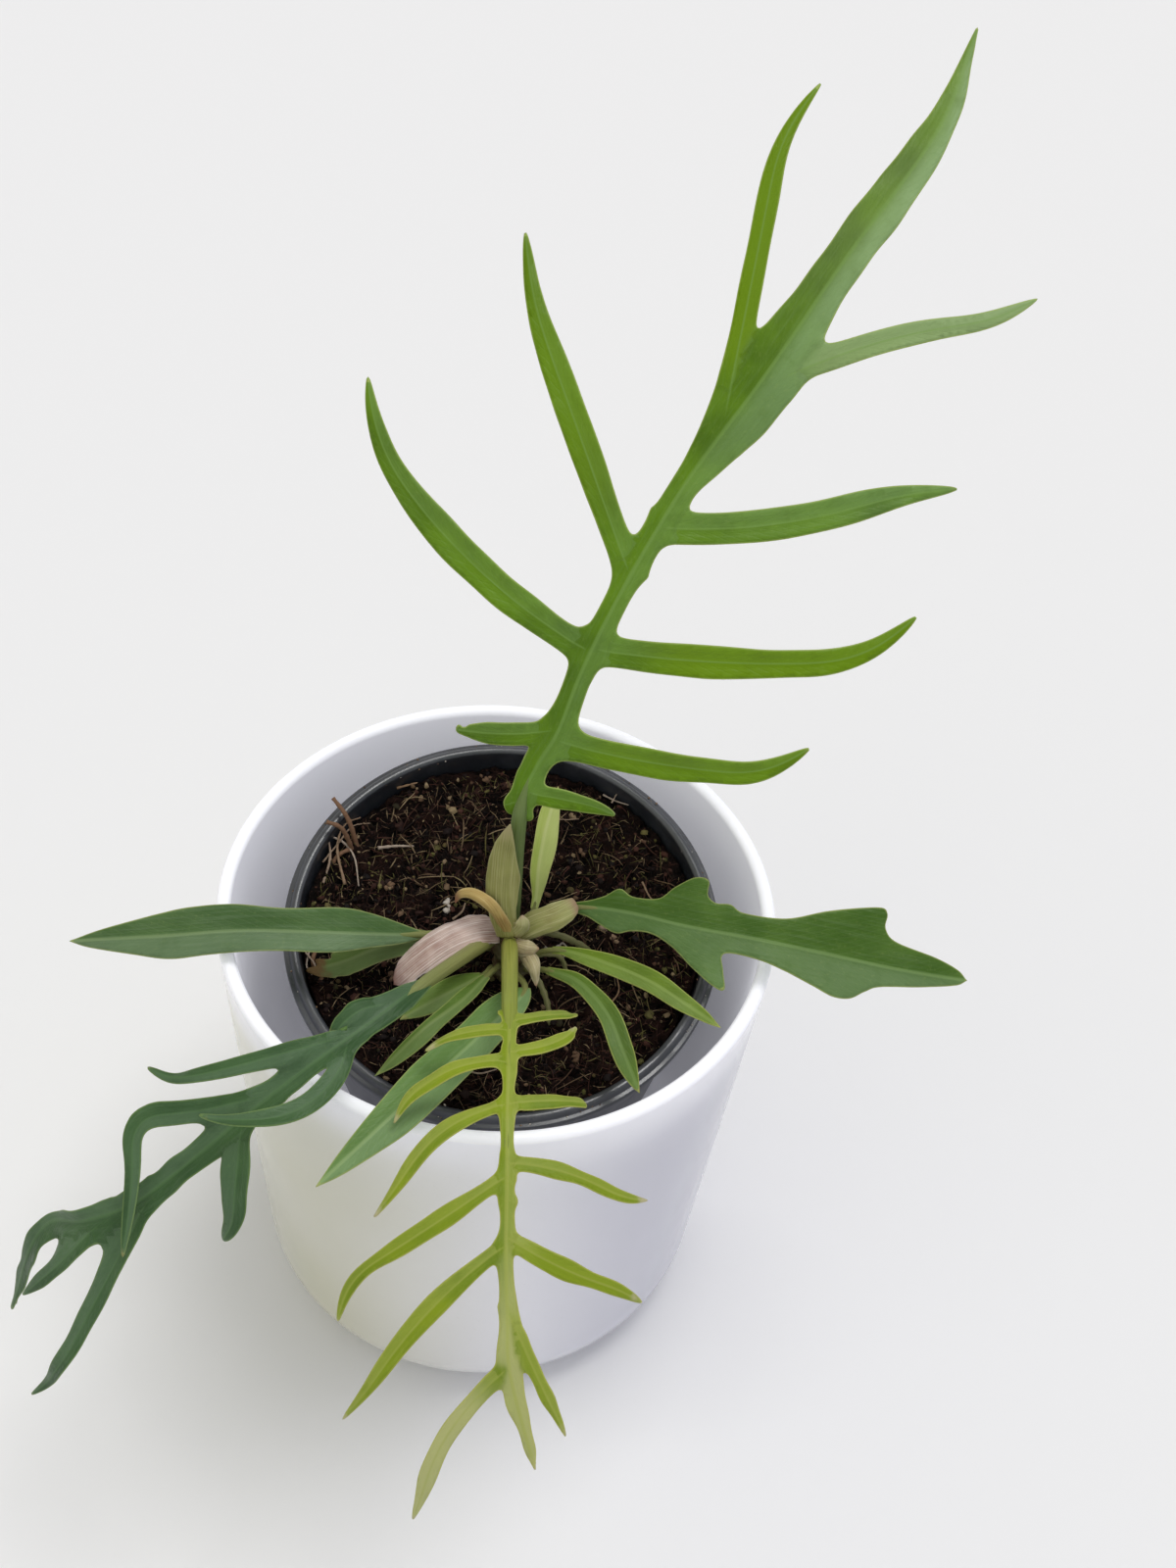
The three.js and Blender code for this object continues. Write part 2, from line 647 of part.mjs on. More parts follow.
// Blade with lobes on both sides of its midrib
function cutBlade(spine, leaf) {
  const sheet = new Sheet();
  const steps = Math.round((spine.length - leaf.start) / BLADE.facet);
  const middle = [];
  const places = [];
  for (let i = 0; i <= steps; i += 1) {
    const share = i / steps;
    const place = THREE.MathUtils.lerp(leaf.start, spine.length, share);
    const half = i === steps ? BLADE.edge : THREE.MathUtils.lerp(leaf.rib[0], leaf.rib[1], share);
    middle.push(sheet.add(frameAt(spine, place).point, half));
    places.push(place);
  }
  const tip = middle[steps];
  addSide(sheet, spine, leaf, -1, middle, places, tip);
  addSide(sheet, spine, leaf, 1, middle, places, tip);
  return sheet.solid();
}

// Blade whose two edges are given as [distance, width] rows
function edgedBlade(spine, leaf) {
  const sheet = new Sheet();
  const steps = Math.round((spine.length - leaf.start) / BLADE.facet) + 1;
  const middle = [];
  const places = [];
  for (let i = 0; i <= steps; i += 1) {
    const place = THREE.MathUtils.lerp(leaf.start, spine.length, i / steps);
    const half = i === steps ? BLADE.edge : THREE.MathUtils.lerp(BLADE.rib, BLADE.vein, i / steps);
    middle.push(sheet.add(frameAt(spine, place).point, half));
    places.push(place);
  }
  const tip = middle[steps];
  [[leaf.left, -1], [leaf.right, 1]].forEach(([edge, side]) => {
    const outer = edge.map(([place, width]) => {
      const frame = frameAt(spine, place);
      return sheet.add(frame.point.clone().addScaledVector(frame.across, side * width), BLADE.edge);
    });
    sheet.zip(middle, [...outer, tip], places, [...edge.map((row) => row[0]), spine.length], side);
  });
  return sheet.solid();
}

// Petiole of a leaf, sunk into the start of the blade
function petioleSolid(spine, leaf, sides, extra = 0) {
  return solidOf(taperedBar(spine, 0, leaf.start + 7, leaf.petiole, sides, 9, extra));
}

// Boat-shaped shell of a sheath
function sheathSolid(sheath) {
  const spine = makeSpine(sheath.path, sheath.facing);
  const sheet = new Sheet();
  const [width, wrap] = sheath.shell;
  const power = Math.log(0.5) / Math.log(sheath.widest);
  const halfWrap = radians(wrap) / 2;
  const rows = [];
  for (let i = 0; i <= SHELL.along; i += 1) {
    const share = i / SHELL.along;
    const frame = frameAt(spine, share * spine.length);
    const half = (width / 2) * Math.max(0.12, Math.sin(Math.PI * (0.06 + 0.94 * share) ** power) ** 0.7);
    const radius = half / Math.sin(Math.min(halfWrap, Math.PI / 2));
    const row = [];
    for (let k = 0; k <= SHELL.across; k += 1) {
      const angle = THREE.MathUtils.lerp(-halfWrap, halfWrap, k / SHELL.across);
      const point = frame.point.clone();
      point.addScaledVector(frame.across, radius * Math.sin(angle));
      point.addScaledVector(frame.up, radius * (Math.cos(angle) - 1));
      row.push(sheet.add(point, SHELL.half));
    }
    rows.push(row);
  }
  for (let i = 0; i < SHELL.along; i += 1) {
    for (let k = 0; k < SHELL.across; k += 1) {
      sheet.face(rows[i][k], rows[i][k + 1], rows[i + 1][k]);
      sheet.face(rows[i][k + 1], rows[i + 1][k + 1], rows[i + 1][k]);
    }
  }
  return sheet.solid();
}

// Glazed pot with a flat underside, a round foot and a round lip
function outerPotGeometry(size) {
  const { height, topRadius, baseRadius, wall, floor, footRound, innerRound } = size;
  const lip = wall / 2;
  const innerBase = baseRadius - wall;
  const profile = [
    [0, 0],
    ...arc(baseRadius - footRound, footRound, footRound, -90, 0, 6),
    ...arc(topRadius - lip, height - lip, lip, 0, 180, 6),
    ...arc(innerBase - innerRound, floor + innerRound, innerRound, 0, -90, 6),
    [0, floor],
  ];
  return turned(profile, size.segments);
}

// Grow pot below the plane of its rim, with a flat flange, a round bead and drain holes
function growPotGeometry(size) {
  const bodyBase = size.bodyBaseRadius;
  const inner = size.bodyTopRadius - size.wall;
  const profile = [
    [0, -size.height],
    [bodyBase - 1.5, -size.height],
    [bodyBase, 1.5 - size.height],
    [size.bodyTopRadius, -size.rimHeight],
    [size.rimRadius - 0.4, -size.rimHeight],
    [size.rimRadius, 0.6 - size.rimHeight],
    [size.rimRadius, -1.6],
    [size.beadRadius + size.beadHalf, -1.6],
    ...arc(size.beadRadius, -size.beadHalf, size.beadHalf, 30, 150, 4),
    [inner, -size.rimHeight],
    [bodyBase - size.wall, size.wall - size.height],
    [0, size.wall - size.height],
  ];
  let pot = solidOf(turned(profile, size.segments));
  const hole = new THREE.CylinderGeometry(size.drainRadius, size.drainRadius, 8, 10);
  hole.rotateX(Math.PI / 2);
  for (let i = 0; i < size.drainHoles; i += 1) {
    const angle = (2 * Math.PI * i) / size.drainHoles;
    const cutter = hole.clone();
    cutter.translate(size.drainCircle * Math.cos(angle), size.drainCircle * Math.sin(angle), -size.height);
    pot = pot.subtract(solidOf(cutter));
  }
  return geometryOf(pot);
}

// Height of the potting mix under the rim plane: a dish with lumps of several sizes
function soilHeight(x, y) {
  const reach = Math.hypot(x, y) / GROW_POT.bodyTopRadius;
  const dish = THREE.MathUtils.lerp(-SOIL.middleDepth, -SOIL.edgeDepth, reach * reach);
  const lumps = Math.sin(x * 0.21 + 1.3) * Math.cos(y * 0.17 - 0.6)
    + 0.7 * Math.sin(x * 0.43 - y * 0.31 + 2.1)
    + 0.5 * Math.cos(x * 0.77 + y * 0.69);
  return dish + SOIL.lump * 0.6 * lumps;
}

// Potting mix, from the floor of the grow pot up to its lumpy surface
function soilGeometry() {
  const floorRadius = GROW_POT.bodyBaseRadius - GROW_POT.wall - GAP;
  const floorHeight = GROW_POT.wall + GAP - GROW_POT.height;
  const mouthRadius = GROW_POT.bodyTopRadius - GROW_POT.wall;
  const slope = (mouthRadius - floorRadius) / (-GROW_POT.rimHeight - floorHeight);
  const lowestEdge = -SOIL.edgeDepth - 2 * SOIL.lump;
  const topRadius = floorRadius + slope * (lowestEdge - floorHeight);
  const positions = [];
  const index = [];
  const { rings, spokes } = SOIL;
  positions.push(0, 0, soilHeight(0, 0));
  for (let i = 1; i <= rings + 1; i += 1) {
    const radius = i <= rings ? (topRadius * i) / rings : floorRadius;
    for (let k = 0; k < spokes; k += 1) {
      const angle = (2 * Math.PI * (k + (i % 2) / 2)) / spokes;
      const x = radius * Math.cos(angle);
      const y = radius * Math.sin(angle);
      positions.push(x, y, i <= rings ? soilHeight(x, y) : floorHeight);
    }
  }
  positions.push(0, 0, floorHeight);
  const under = 1 + (rings + 1) * spokes;
  for (let k = 0; k < spokes; k += 1) {
    const next = (k + 1) % spokes;
    index.push(0, 1 + k, 1 + next);
    index.push(under, 1 + rings * spokes + next, 1 + rings * spokes + k);
    for (let i = 0; i < rings; i += 1) {
      const here = 1 + i * spokes;
      const there = here + spokes;
      const shift = (i + 1) % 2 === 0 ? 0 : 1;
      const a = here + k;
      const b = here + next;
      const c = there + k;
      const d = there + next;
      if (shift) {
        index.push(a, c, d, a, d, b);
      } else {
        index.push(a, c, b, c, d, b);
      }
    }
  }
  const geometry = new THREE.BufferGeometry();
  geometry.setAttribute('position', new THREE.Float32BufferAttribute(positions, 3));
  geometry.setIndex(index);
  return geometry;
}

// Straws and root ends that lie half sunk in the mix
function addStraws(soil, toLocal) {
  const draw = seededDraw(7);
  let filled = soil;
  for (let i = 0; i < SOIL.straws; i += 1) {
    const radius = 16 + 28 * Math.sqrt(draw());
    const angle = 2 * Math.PI * draw();
    const heading = 2 * Math.PI * draw();
    const length = 9 + 8 * draw();
    const points = [-0.5, 0, 0.5].map((share) => {
      const x = radius * Math.cos(angle) + share * length * Math.cos(heading);
      const y = radius * Math.sin(angle) + share * length * Math.sin(heading);
      return [x, y, soilHeight(x, y) + (share === 0 ? 0.9 : -1.2)];
    });
    const spine = makeSpine(points, [[0, 0, 1], [0, 0, 1]]);
    filled = filled.add(solidOf(taperedBar(spine, 0, spine.length, [0.6, 0.45], 4, 5)));
  }
  EDGE_ROOTS.forEach((root) => {
    const spine = makeSpine(root.points, [[0, 0, 1], [0, 0, 1]]);
    const bar = taperedBar(spine, 0, spine.length, root.radius, 5, 4).applyMatrix4(toLocal);
    filled = filled.add(solidOf(bar));
  });
  return filled;
}

// Knobbly crown with the roots that leave it, larger all round by extra
function crownSolid(extra = 0) {
  const spine = makeSpine([CROWN.foot, CROWN.top], [[0, -1, 0], [0, -1, 0]]);
  const positions = [];
  const index = [];
  const { rings, sides } = CROWN;
  for (let i = 0; i <= rings; i += 1) {
    const share = i / rings;
    const frame = frameAt(spine, share * spine.length);
    const swell = CROWN.knob * Math.sin(share * 20);
    const taper = Math.sqrt(1 - 0.75 * share ** 6) * (0.7 + 0.3 * Math.min(1, share * 4));
    const radius = (CROWN.radius + swell) * taper + extra;
    for (let k = 0; k < sides; k += 1) {
      const angle = (2 * Math.PI * k) / sides;
      const lobed = radius * (1 + 0.05 * Math.sin(3 * angle + share * 5));
      const end = i === rings ? extra : 0;
      const point = frame.point.clone().addScaledVector(frame.along, end);
      point.addScaledVector(frame.across, lobed * Math.cos(angle));
      point.addScaledVector(frame.up, lobed * Math.sin(angle));
      positions.push(...point.toArray());
      if (i < rings) {
        const here = i * sides + k;
        const next = i * sides + ((k + 1) % sides);
        index.push(here, next, here + sides, next, next + sides, here + sides);
      }
    }
  }
  for (let k = 1; k < sides - 1; k += 1) {
    const last = rings * sides;
    index.push(0, k + 1, k, last, last + k, last + k + 1);
  }
  const geometry = new THREE.BufferGeometry();
  geometry.setAttribute('position', new THREE.Float32BufferAttribute(positions, 3));
  geometry.setIndex(index);
  let crown = solidOf(geometry);
  CROWN_ROOTS.forEach((root) => {
    const rootSpine = makeSpine(root.points, [[0, 0, 1], [0, 0, 1]]);
    crown = crown.add(solidOf(taperedBar(rootSpine, 0, rootSpine.length, root.radius, 6, 4, extra)));
  });
  return crown;
}

function named(name, geometry, colour, roughness, metalness = 0) {
  const flat = geometry.toNonIndexed();
  flat.computeVertexNormals();
  const mesh = new THREE.Mesh(flat, new THREE.MeshStandardMaterial({ color: colour, roughness, metalness }));
  mesh.name = name;
  return mesh;
}

const plant = new THREE.Group();

plant.add(named('pot_glazed', outerPotGeometry(OUTER_POT), 0xf2f2f4, 0.12));

const growPot = new THREE.Group();
growPot.position.set(...GROW_POT.rimCentre);
growPot.rotation.set(radians(GROW_POT.lean), 0, 0);
growPot.updateMatrixWorld(true);
const toLocal = growPot.matrixWorld.clone().invert();
growPot.add(named('pot_grow', growPotGeometry(GROW_POT), 0x25272b, 0.45));
const holes = solidOf(geometryOf(crownSolid(GAP)).applyMatrix4(toLocal));
const soil = addStraws(solidOf(soilGeometry()), toLocal).subtract(holes);
growPot.add(named('soil', geometryOf(soil), 0x2b1a14, 0.95));
plant.add(growPot);

plant.add(named('stem_crown', geometryOf(crownSolid()), 0x8d8f5a, 0.6));

const crownCutter = crownSolid(GAP);
const petioleCutters = [];

CUT_LEAVES.forEach((leaf) => {
  const spine = makeSpine(leaf.path, leaf.facing);
  const petiole = petioleSolid(spine, leaf, 8);
  const solid = petiole.add(cutBlade(spine, leaf)).subtract(crownCutter);
  petioleCutters.push(petioleSolid(spine, leaf, 8, GAP));
  plant.add(named(leaf.name, geometryOf(solid), leaf.colour, 0.45));
});

PLAIN_LEAVES.forEach((leaf) => {
  const spine = makeSpine(leaf.path, leaf.facing);
  const blade = edgedBlade(spine, leaf);
  const solid = petioleSolid(spine, leaf, 6).add(blade).subtract(crownCutter);
  petioleCutters.push(petioleSolid(spine, leaf, 6, GAP));
  plant.add(named(leaf.name, geometryOf(solid), leaf.colour, 0.45));
});

SHEATHS.forEach((sheath) => {
  let solid = sheathSolid(sheath).subtract(crownCutter);
  petioleCutters.forEach((cutter) => {
    solid = solid.subtract(cutter);
  });
  plant.add(named(sheath.name, geometryOf(solid), sheath.colour, 0.6));
});

export default plant;
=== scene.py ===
import math
import random

import bpy
import numpy as np
from mathutils import Matrix, Vector
from mathutils.geometry import delaunay_2d_cdt


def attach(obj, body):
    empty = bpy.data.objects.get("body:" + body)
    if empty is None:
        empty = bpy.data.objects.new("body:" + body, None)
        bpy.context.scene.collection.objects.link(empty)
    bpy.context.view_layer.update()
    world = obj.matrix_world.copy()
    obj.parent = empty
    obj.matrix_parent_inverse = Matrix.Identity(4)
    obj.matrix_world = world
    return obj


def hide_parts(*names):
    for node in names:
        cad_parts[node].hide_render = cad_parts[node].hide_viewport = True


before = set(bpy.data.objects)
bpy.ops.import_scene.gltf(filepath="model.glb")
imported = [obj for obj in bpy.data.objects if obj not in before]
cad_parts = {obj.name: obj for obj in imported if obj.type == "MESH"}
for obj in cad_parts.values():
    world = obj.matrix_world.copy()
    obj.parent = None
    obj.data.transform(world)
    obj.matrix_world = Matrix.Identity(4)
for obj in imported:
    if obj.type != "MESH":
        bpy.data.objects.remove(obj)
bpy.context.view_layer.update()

# Lengths in this script are millimetres until a mesh is made; Blender's own unit is the metre.
MM = .001


# Scene: camera, floor and light

def add_camera():
    pitch, roll = math.radians(47.8), math.radians(6.0)
    forward = Vector((0, math.cos(pitch), -math.sin(pitch)))
    level = Vector((0, math.sin(pitch), math.cos(pitch)))
    side = Vector((1, 0, 0))
    right = side * math.cos(roll) + level * math.sin(roll)
    up = level * math.cos(roll) - side * math.sin(roll)
    data = bpy.data.cameras.new("camera")
    data.lens = 49.5
    data.sensor_width = 36
    camera = bpy.data.objects.new("camera", data)
    turn = Matrix((right, up, -forward)).transposed().to_4x4()
    camera.matrix_world = Matrix.Translation(Vector((21.2, -374.6, 625.7)) * MM) @ turn
    bpy.context.scene.collection.objects.link(camera)
    bpy.context.scene.camera = camera


def add_sun(name, source, spread, power, colour):
    data = bpy.data.lights.new(name, "SUN")
    data.angle = math.radians(spread)
    data.energy = power
    data.color = colour
    light = bpy.data.objects.new(name, data)
    light.rotation_mode = "QUATERNION"
    light.rotation_quaternion = (-Vector(source)).to_track_quat("-Z", "Y")
    bpy.context.scene.collection.objects.link(light)


def add_sky():
    """Even light, a little warmer from the left than from the right."""
    world = bpy.data.worlds.new("studio")
    k = Nodes(world)
    across = k.node("SeparateXYZ", "X", {0: k.node("TexCoord", "Generated", {})})
    share = k.node("MapRange", "Result", {"Value": across, "From Min": -.9, "From Max": .3})
    background = k.tree.nodes["Background"].inputs
    k.link(k.mix(share, (1, .98, .84), (.93, .94, 1)), background["Color"])
    k.link(.55, background["Strength"])
    bpy.context.scene.world = world


def add_stage():
    bpy.ops.mesh.primitive_plane_add(size=8, location=(0, 0, 0))
    floor = bpy.context.object
    floor.name = "floor"
    k = new_material("floor")
    k.colour = (.865, .865, .878)
    floor.data.materials.append(k.done(rough=.9, specular=.1))
    scene = bpy.context.scene
    scene.view_settings.view_transform = "Standard"
    scene.view_settings.look = "None"
    add_sky()
    add_sun("key", (.2, .12, .95), spread=26, power=1.2, colour=(1, .99, .97))
    add_sun("fill", (-.35, -.5, .9), spread=60, power=.35, colour=(1, 1, .98))


# Material nodes

class Nodes:
    """The node tree of a material or world, with short names for the nodes used here."""

    def __init__(self, owner):
        owner.use_nodes = True
        self.owner, self.tree, self.colour = owner, owner.node_tree, None
        self.shader = self.tree.nodes.get("Principled BSDF")

    def link(self, value, socket):
        if isinstance(value, bpy.types.NodeSocket):
            self.tree.links.new(value, socket)
        elif isinstance(value, (tuple, list)) and len(value) == 3 and len(socket.default_value) == 4:
            socket.default_value = (*value, 1)
        else:
            socket.default_value = value

    def node(self, kind, output, inputs, **settings):
        """One output of a new node, once its settings and inputs are in place."""
        node = self.tree.nodes.new("ShaderNode" + kind)
        for key, value in settings.items():
            setattr(node, key, value)
        for key, value in inputs.items():
            self.link(value, node.inputs[key])
        return node.outputs[output]

    def value(self, name):
        return self.node("Attribute", "Fac", {}, attribute_name=name)

    def place(self):
        return self.node("TexCoord", "Object", {})

    def math(self, kind, a, b=0.0, clamp=False):
        return self.node("Math", 0, {0: a, 1: b}, operation=kind, use_clamp=clamp)

    def times(self, a, b):
        return self.math("MULTIPLY", a, b)

    def plus(self, a, b):
        return self.math("ADD", a, b)

    def ramp(self, value, low, high, to_low=0.0, to_high=1.0):
        inputs = {"Value": value, "From Min": low, "From Max": high, "To Min": to_low, "To Max": to_high}
        return self.node("MapRange", "Result", inputs, interpolation_type="SMOOTHSTEP")

    def vector(self, x, y):
        return self.node("CombineXYZ", 0, {0: x, 1: y})

    def noise(self, vector, scale, detail, rough=.5):
        inputs = {"Vector": vector, "Scale": scale, "Detail": detail, "Roughness": rough}
        return self.node("TexNoise", "Fac", inputs)

    def mix(self, share, a, b):
        return self.node("Mix", "Result", {"Factor": share, "A": a, "B": b}, data_type="RGBA")

    def paint(self, share, colour):
        """Lays a colour over the one so far, as strongly as share says."""
        self.colour = self.mix(share, self.colour, colour)

    def bump(self, height, strength, distance):
        inputs = {"Height": height, "Strength": strength, "Distance": distance}
        self.link(self.node("Bump", "Normal", inputs), self.shader.inputs["Normal"])

    def done(self, **values):
        self.link(self.colour, self.shader.inputs["Base Color"])
        names = {"rough": "Roughness", "specular": "Specular IOR Level", "coat": "Coat Weight",
                 "coat_rough": "Coat Roughness", "glow": "Emission Color"}
        for key, value in values.items():
            self.link(value, self.shader.inputs[names[key]])
        return self.owner


def new_material(name):
    return Nodes(bpy.data.materials.new(name))


# Meshes

class Parts:
    """Meshes gathered into one piece, each with its own attributes and material number."""

    def __init__(self):
        self.vertices, self.faces, self.indices, self.attributes, self.count = [], [], [], [], 0

    def add(self, vertices, faces, attributes=None, material=0):
        self.vertices.append(np.asarray(vertices, float))
        self.faces += [tuple(i + self.count for i in f) for f in faces]
        self.indices += [material] * len(faces)
        self.attributes.append((len(vertices), attributes or {}))
        self.count += len(vertices)
        return self

    def make(self, name, materials, nodes, slot, smooth=True):
        """One Blender mesh of all parts, which rides the root and stands in for the named nodes."""
        mesh = bpy.data.meshes.new(name)
        vertices = np.vstack(self.vertices) * MM
        mesh.from_pydata(vertices.tolist(), [], [tuple(map(int, face)) for face in self.faces])
        for key in sorted({key for _, own in self.attributes for key in own}):
            runs = [np.broadcast_to(own.get(key, 0.0), n).astype(float) for n, own in self.attributes]
            layer = mesh.attributes.new(key, "FLOAT", "POINT")
            layer.data.foreach_set("value", np.concatenate(runs).astype(np.float32))
        for material in materials:
            mesh.materials.append(material)
        mesh.polygons.foreach_set("material_index", np.asarray(self.indices, np.int32))
        if smooth:
            mesh.polygons.foreach_set("use_smooth", [True] * len(mesh.polygons))
        mesh.update()
        piece = bpy.data.objects.new(name, mesh)
        bpy.context.scene.collection.objects.link(piece)
        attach(piece, "root")
        if nodes:
            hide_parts(*nodes)


def unit(v):
    v = np.asarray(v, float)
    return v / np.maximum(np.linalg.norm(v, axis=-1, keepdims=True), 1e-12)


def smoothstep(x, low, high):
    t = np.clip((np.asarray(x, float) - low) / (high - low), 0, 1)
    return t * t * (3 - 2 * t)


def ripple(x, y, seed, size):
    """Smooth repeatable noise over a plane, mostly from -1 to 1, with bumps about size wide."""
    draw = np.random.default_rng(seed)
    total = np.zeros(np.broadcast(x, y).shape)
    for _ in range(7):
        heading, phase = draw.uniform(0, 2 * math.pi, 2)
        wide = size * draw.uniform(.7, 1.6)
        total = total + np.sin((x * math.cos(heading) + y * math.sin(heading)) * 2 * math.pi / wide + phase)
    return total / 3.2


def bow(a, b, c, d, t):
    """Smooth curve from b to c, where a comes before them and d after."""
    return .5 * (2 * b + (c - a) * t + (2 * a - 5 * b + 4 * c - d) * t * t
                  + (3 * b - a - 3 * c + d) * t ** 3)


def between(s, places, values):
    """Rows of values at the distances s, where places are the distances of the known rows."""
    return np.stack([np.interp(s, places, column) for column in np.transpose(values)], -1)


class Spine:
    """Curve through points, with the way that the upper side faces."""

    def __init__(self, points, facing=((0, 0, 1), (0, 0, 1))):
        p = np.array(points, float)
        ends = np.vstack([2 * p[0] - p[1], p, 2 * p[-1] - p[-2]])
        t = np.linspace(0, 1, 60, endpoint=False)[:, None]
        self.points = np.vstack([*(bow(*ends[i:i + 4], t) for i in range(len(p) - 1)), p[-1:]])
        steps = np.linalg.norm(np.diff(self.points, axis=0), axis=1)
        self.places = np.concatenate([[0], np.cumsum(steps)])
        self.length = self.places[-1]
        self.facing = unit(facing)

    def at(self, s):
        s = np.asarray(s, float)
        point = between(np.clip(s, 0, self.length), self.places, self.points)
        first = unit(self.points[1] - self.points[0])
        last = unit(self.points[-1] - self.points[-2])
        before, beyond = np.minimum(s, 0)[..., None], np.maximum(s - self.length, 0)[..., None]
        return point + before * first + beyond * last

    def frames(self, s):
        s = np.asarray(s, float)
        along = unit(self.at(s + .8) - self.at(s - .8))
        place = np.clip(s / self.length, 0, 1) * (len(self.facing) - 1)
        first = np.minimum(place.astype(int), len(self.facing) - 2)
        share = (place - first)[..., None]
        face = self.facing[first] * (1 - share) + self.facing[first + 1] * share
        up = unit(face - along * (face * along).sum(-1, keepdims=True))
        return self.at(s), along, np.cross(along, up), up


def ring_faces(rows, sides, reverse=False):
    """Faces between rows of ring points, and two fans to the end points that follow the rows."""
    after = [(k + 1) % sides for k in range(sides)]
    first, last = rows * sides, (rows - 1) * sides
    faces = [(i + k, i + j, i + sides + j, i + sides + k)
             for i in range(0, last, sides) for k, j in enumerate(after)]
    faces += [(first, j, k) for k, j in enumerate(after)]
    faces += [(first + 1, last + k, last + j) for k, j in enumerate(after)]
    return [f[:1] + f[:0:-1] for f in faces] if reverse else faces


def tube(points, radii, sides, ridges=0, depth=0.0, up=(0, 0, 1)):
    """Round or ridged bar along points, closed at both ends."""
    p = np.asarray(points, float)
    n = len(p)
    along = unit(np.gradient(p, axis=0))
    upward = np.broadcast_to(np.asarray(up, float), p.shape)
    upward = unit(upward - along * (upward * along).sum(-1, keepdims=True))
    across = np.cross(along, upward)
    angle = np.linspace(0, 2 * math.pi, sides, endpoint=False)
    ring = 1 - depth * (.5 - .5 * np.cos(angle * ridges)) if ridges else np.ones(sides)
    radii = np.broadcast_to(np.asarray(radii, float), n)
    x = radii[:, None] * (ring * np.cos(angle))[None]
    y = radii[:, None] * (ring * np.sin(angle))[None]
    v = (p[:, None] + across[:, None] * x[..., None] + upward[:, None] * y[..., None]).reshape(-1, 3)
    v = np.vstack([v, p[:1], p[-1:]])
    length = np.concatenate([[0], np.cumsum(np.linalg.norm(np.diff(p, axis=0), axis=1))])
    along_value = np.concatenate([np.repeat(length, sides), length[[0, -1]]])
    angle_value = np.concatenate([np.tile(angle, n), [0, 0]])
    return v, ring_faces(n, sides), {"u": along_value, "v": angle_value}


def knotty(points, radii, rows, sides, waves):
    """Bar through points whose radius goes from one to the other and swells in waves."""
    spine = Spine(points)
    s = np.linspace(0, spine.length, rows)
    swell = 1
    for amount, rate, shift in waves:
        swell = swell + amount * np.sin(s * rate + shift)
    return tube(spine.at(s), np.linspace(*radii, rows) * swell, sides)


# Blades

def contours(values, xs, ys):
    """Closed outlines where a grid of values is zero."""
    inside = values < 0
    code = (inside[:-1, :-1] * 1 + inside[1:, :-1] * 2 + inside[1:, 1:] * 4 + inside[:-1, 1:] * 8)
    # Sides where the outline enters and leaves a cell, for each pattern of corners that lie inside.
    pairs = {1: [(3, 0)], 2: [(0, 1)], 3: [(3, 1)], 4: [(1, 2)], 5: [(3, 0), (1, 2)], 6: [(0, 2)],
             7: [(3, 2)], 8: [(2, 3)], 9: [(2, 0)], 10: [(0, 1), (2, 3)], 11: [(2, 1)], 12: [(1, 3)],
             13: [(1, 0)], 14: [(0, 3)]}
    follow, spot = {}, {}
    ends = (((0, 0), (1, 0)), ((1, 0), (1, 1)), ((0, 1), (1, 1)), ((0, 0), (0, 1)))

    def edge(i, j, side):
        """One side of a grid cell, known by its two corners; spot keeps where the outline crosses it."""
        key = a, b = tuple((i + across, j + up) for across, up in ends[side])
        if key not in spot:
            va, vb = values[a], values[b]
            t = va / (va - vb)
            spot[key] = (xs[a[0]] * (1 - t) + xs[b[0]] * t, ys[a[1]] * (1 - t) + ys[b[1]] * t)
        return key

    for i, j in zip(*np.nonzero((code > 0) & (code < 15))):
        for a, b in pairs[int(code[i, j])]:
            follow[edge(i, j, a)] = edge(i, j, b)
    loops = []
    while follow:
        start = key = next(iter(follow))
        loop = []
        while key in follow:
            loop.append(spot[key])
            key = follow.pop(key)
        if key == start and len(loop) > 12:
            loops.append(np.array(loop))
    return loops


def spaced(loop, step):
    """The same closed outline with points about a step apart."""
    closed = np.vstack([loop, loop[:1]])
    length = np.concatenate([[0], np.cumsum(np.linalg.norm(np.diff(closed, axis=0), axis=1))])
    count = max(8, int(length[-1] / step))
    s = np.linspace(0, length[-1], count, endpoint=False)
    return between(s, length, closed)


def smoothed(loop):
    return .5 * loop + .25 * (np.roll(loop, 1, 0) + np.roll(loop, -1, 0))


def within(points, loops):
    """Whether each point lies inside the outlines, by the even and odd rule."""
    inside = np.zeros(len(points), bool)
    x, y = points[:, 0], points[:, 1]
    for loop in loops:
        for (x0, y0), (x1, y1) in zip(loop, np.roll(loop, -1, 0)):
            if y0 != y1:
                crosses = (y0 > y) != (y1 > y)
                inside ^= crosses & (x < (x1 - x0) * (y - y0) / (y1 - y0) + x0)
    return inside


def nearest(points, others):
    out = np.empty(len(points))
    for i in range(0, len(points), 800):
        part = points[i:i + 800]
        out[i:i + 800] = np.sqrt(((part[:, None] - others[None]) ** 2).sum(-1).min(1))
    return out


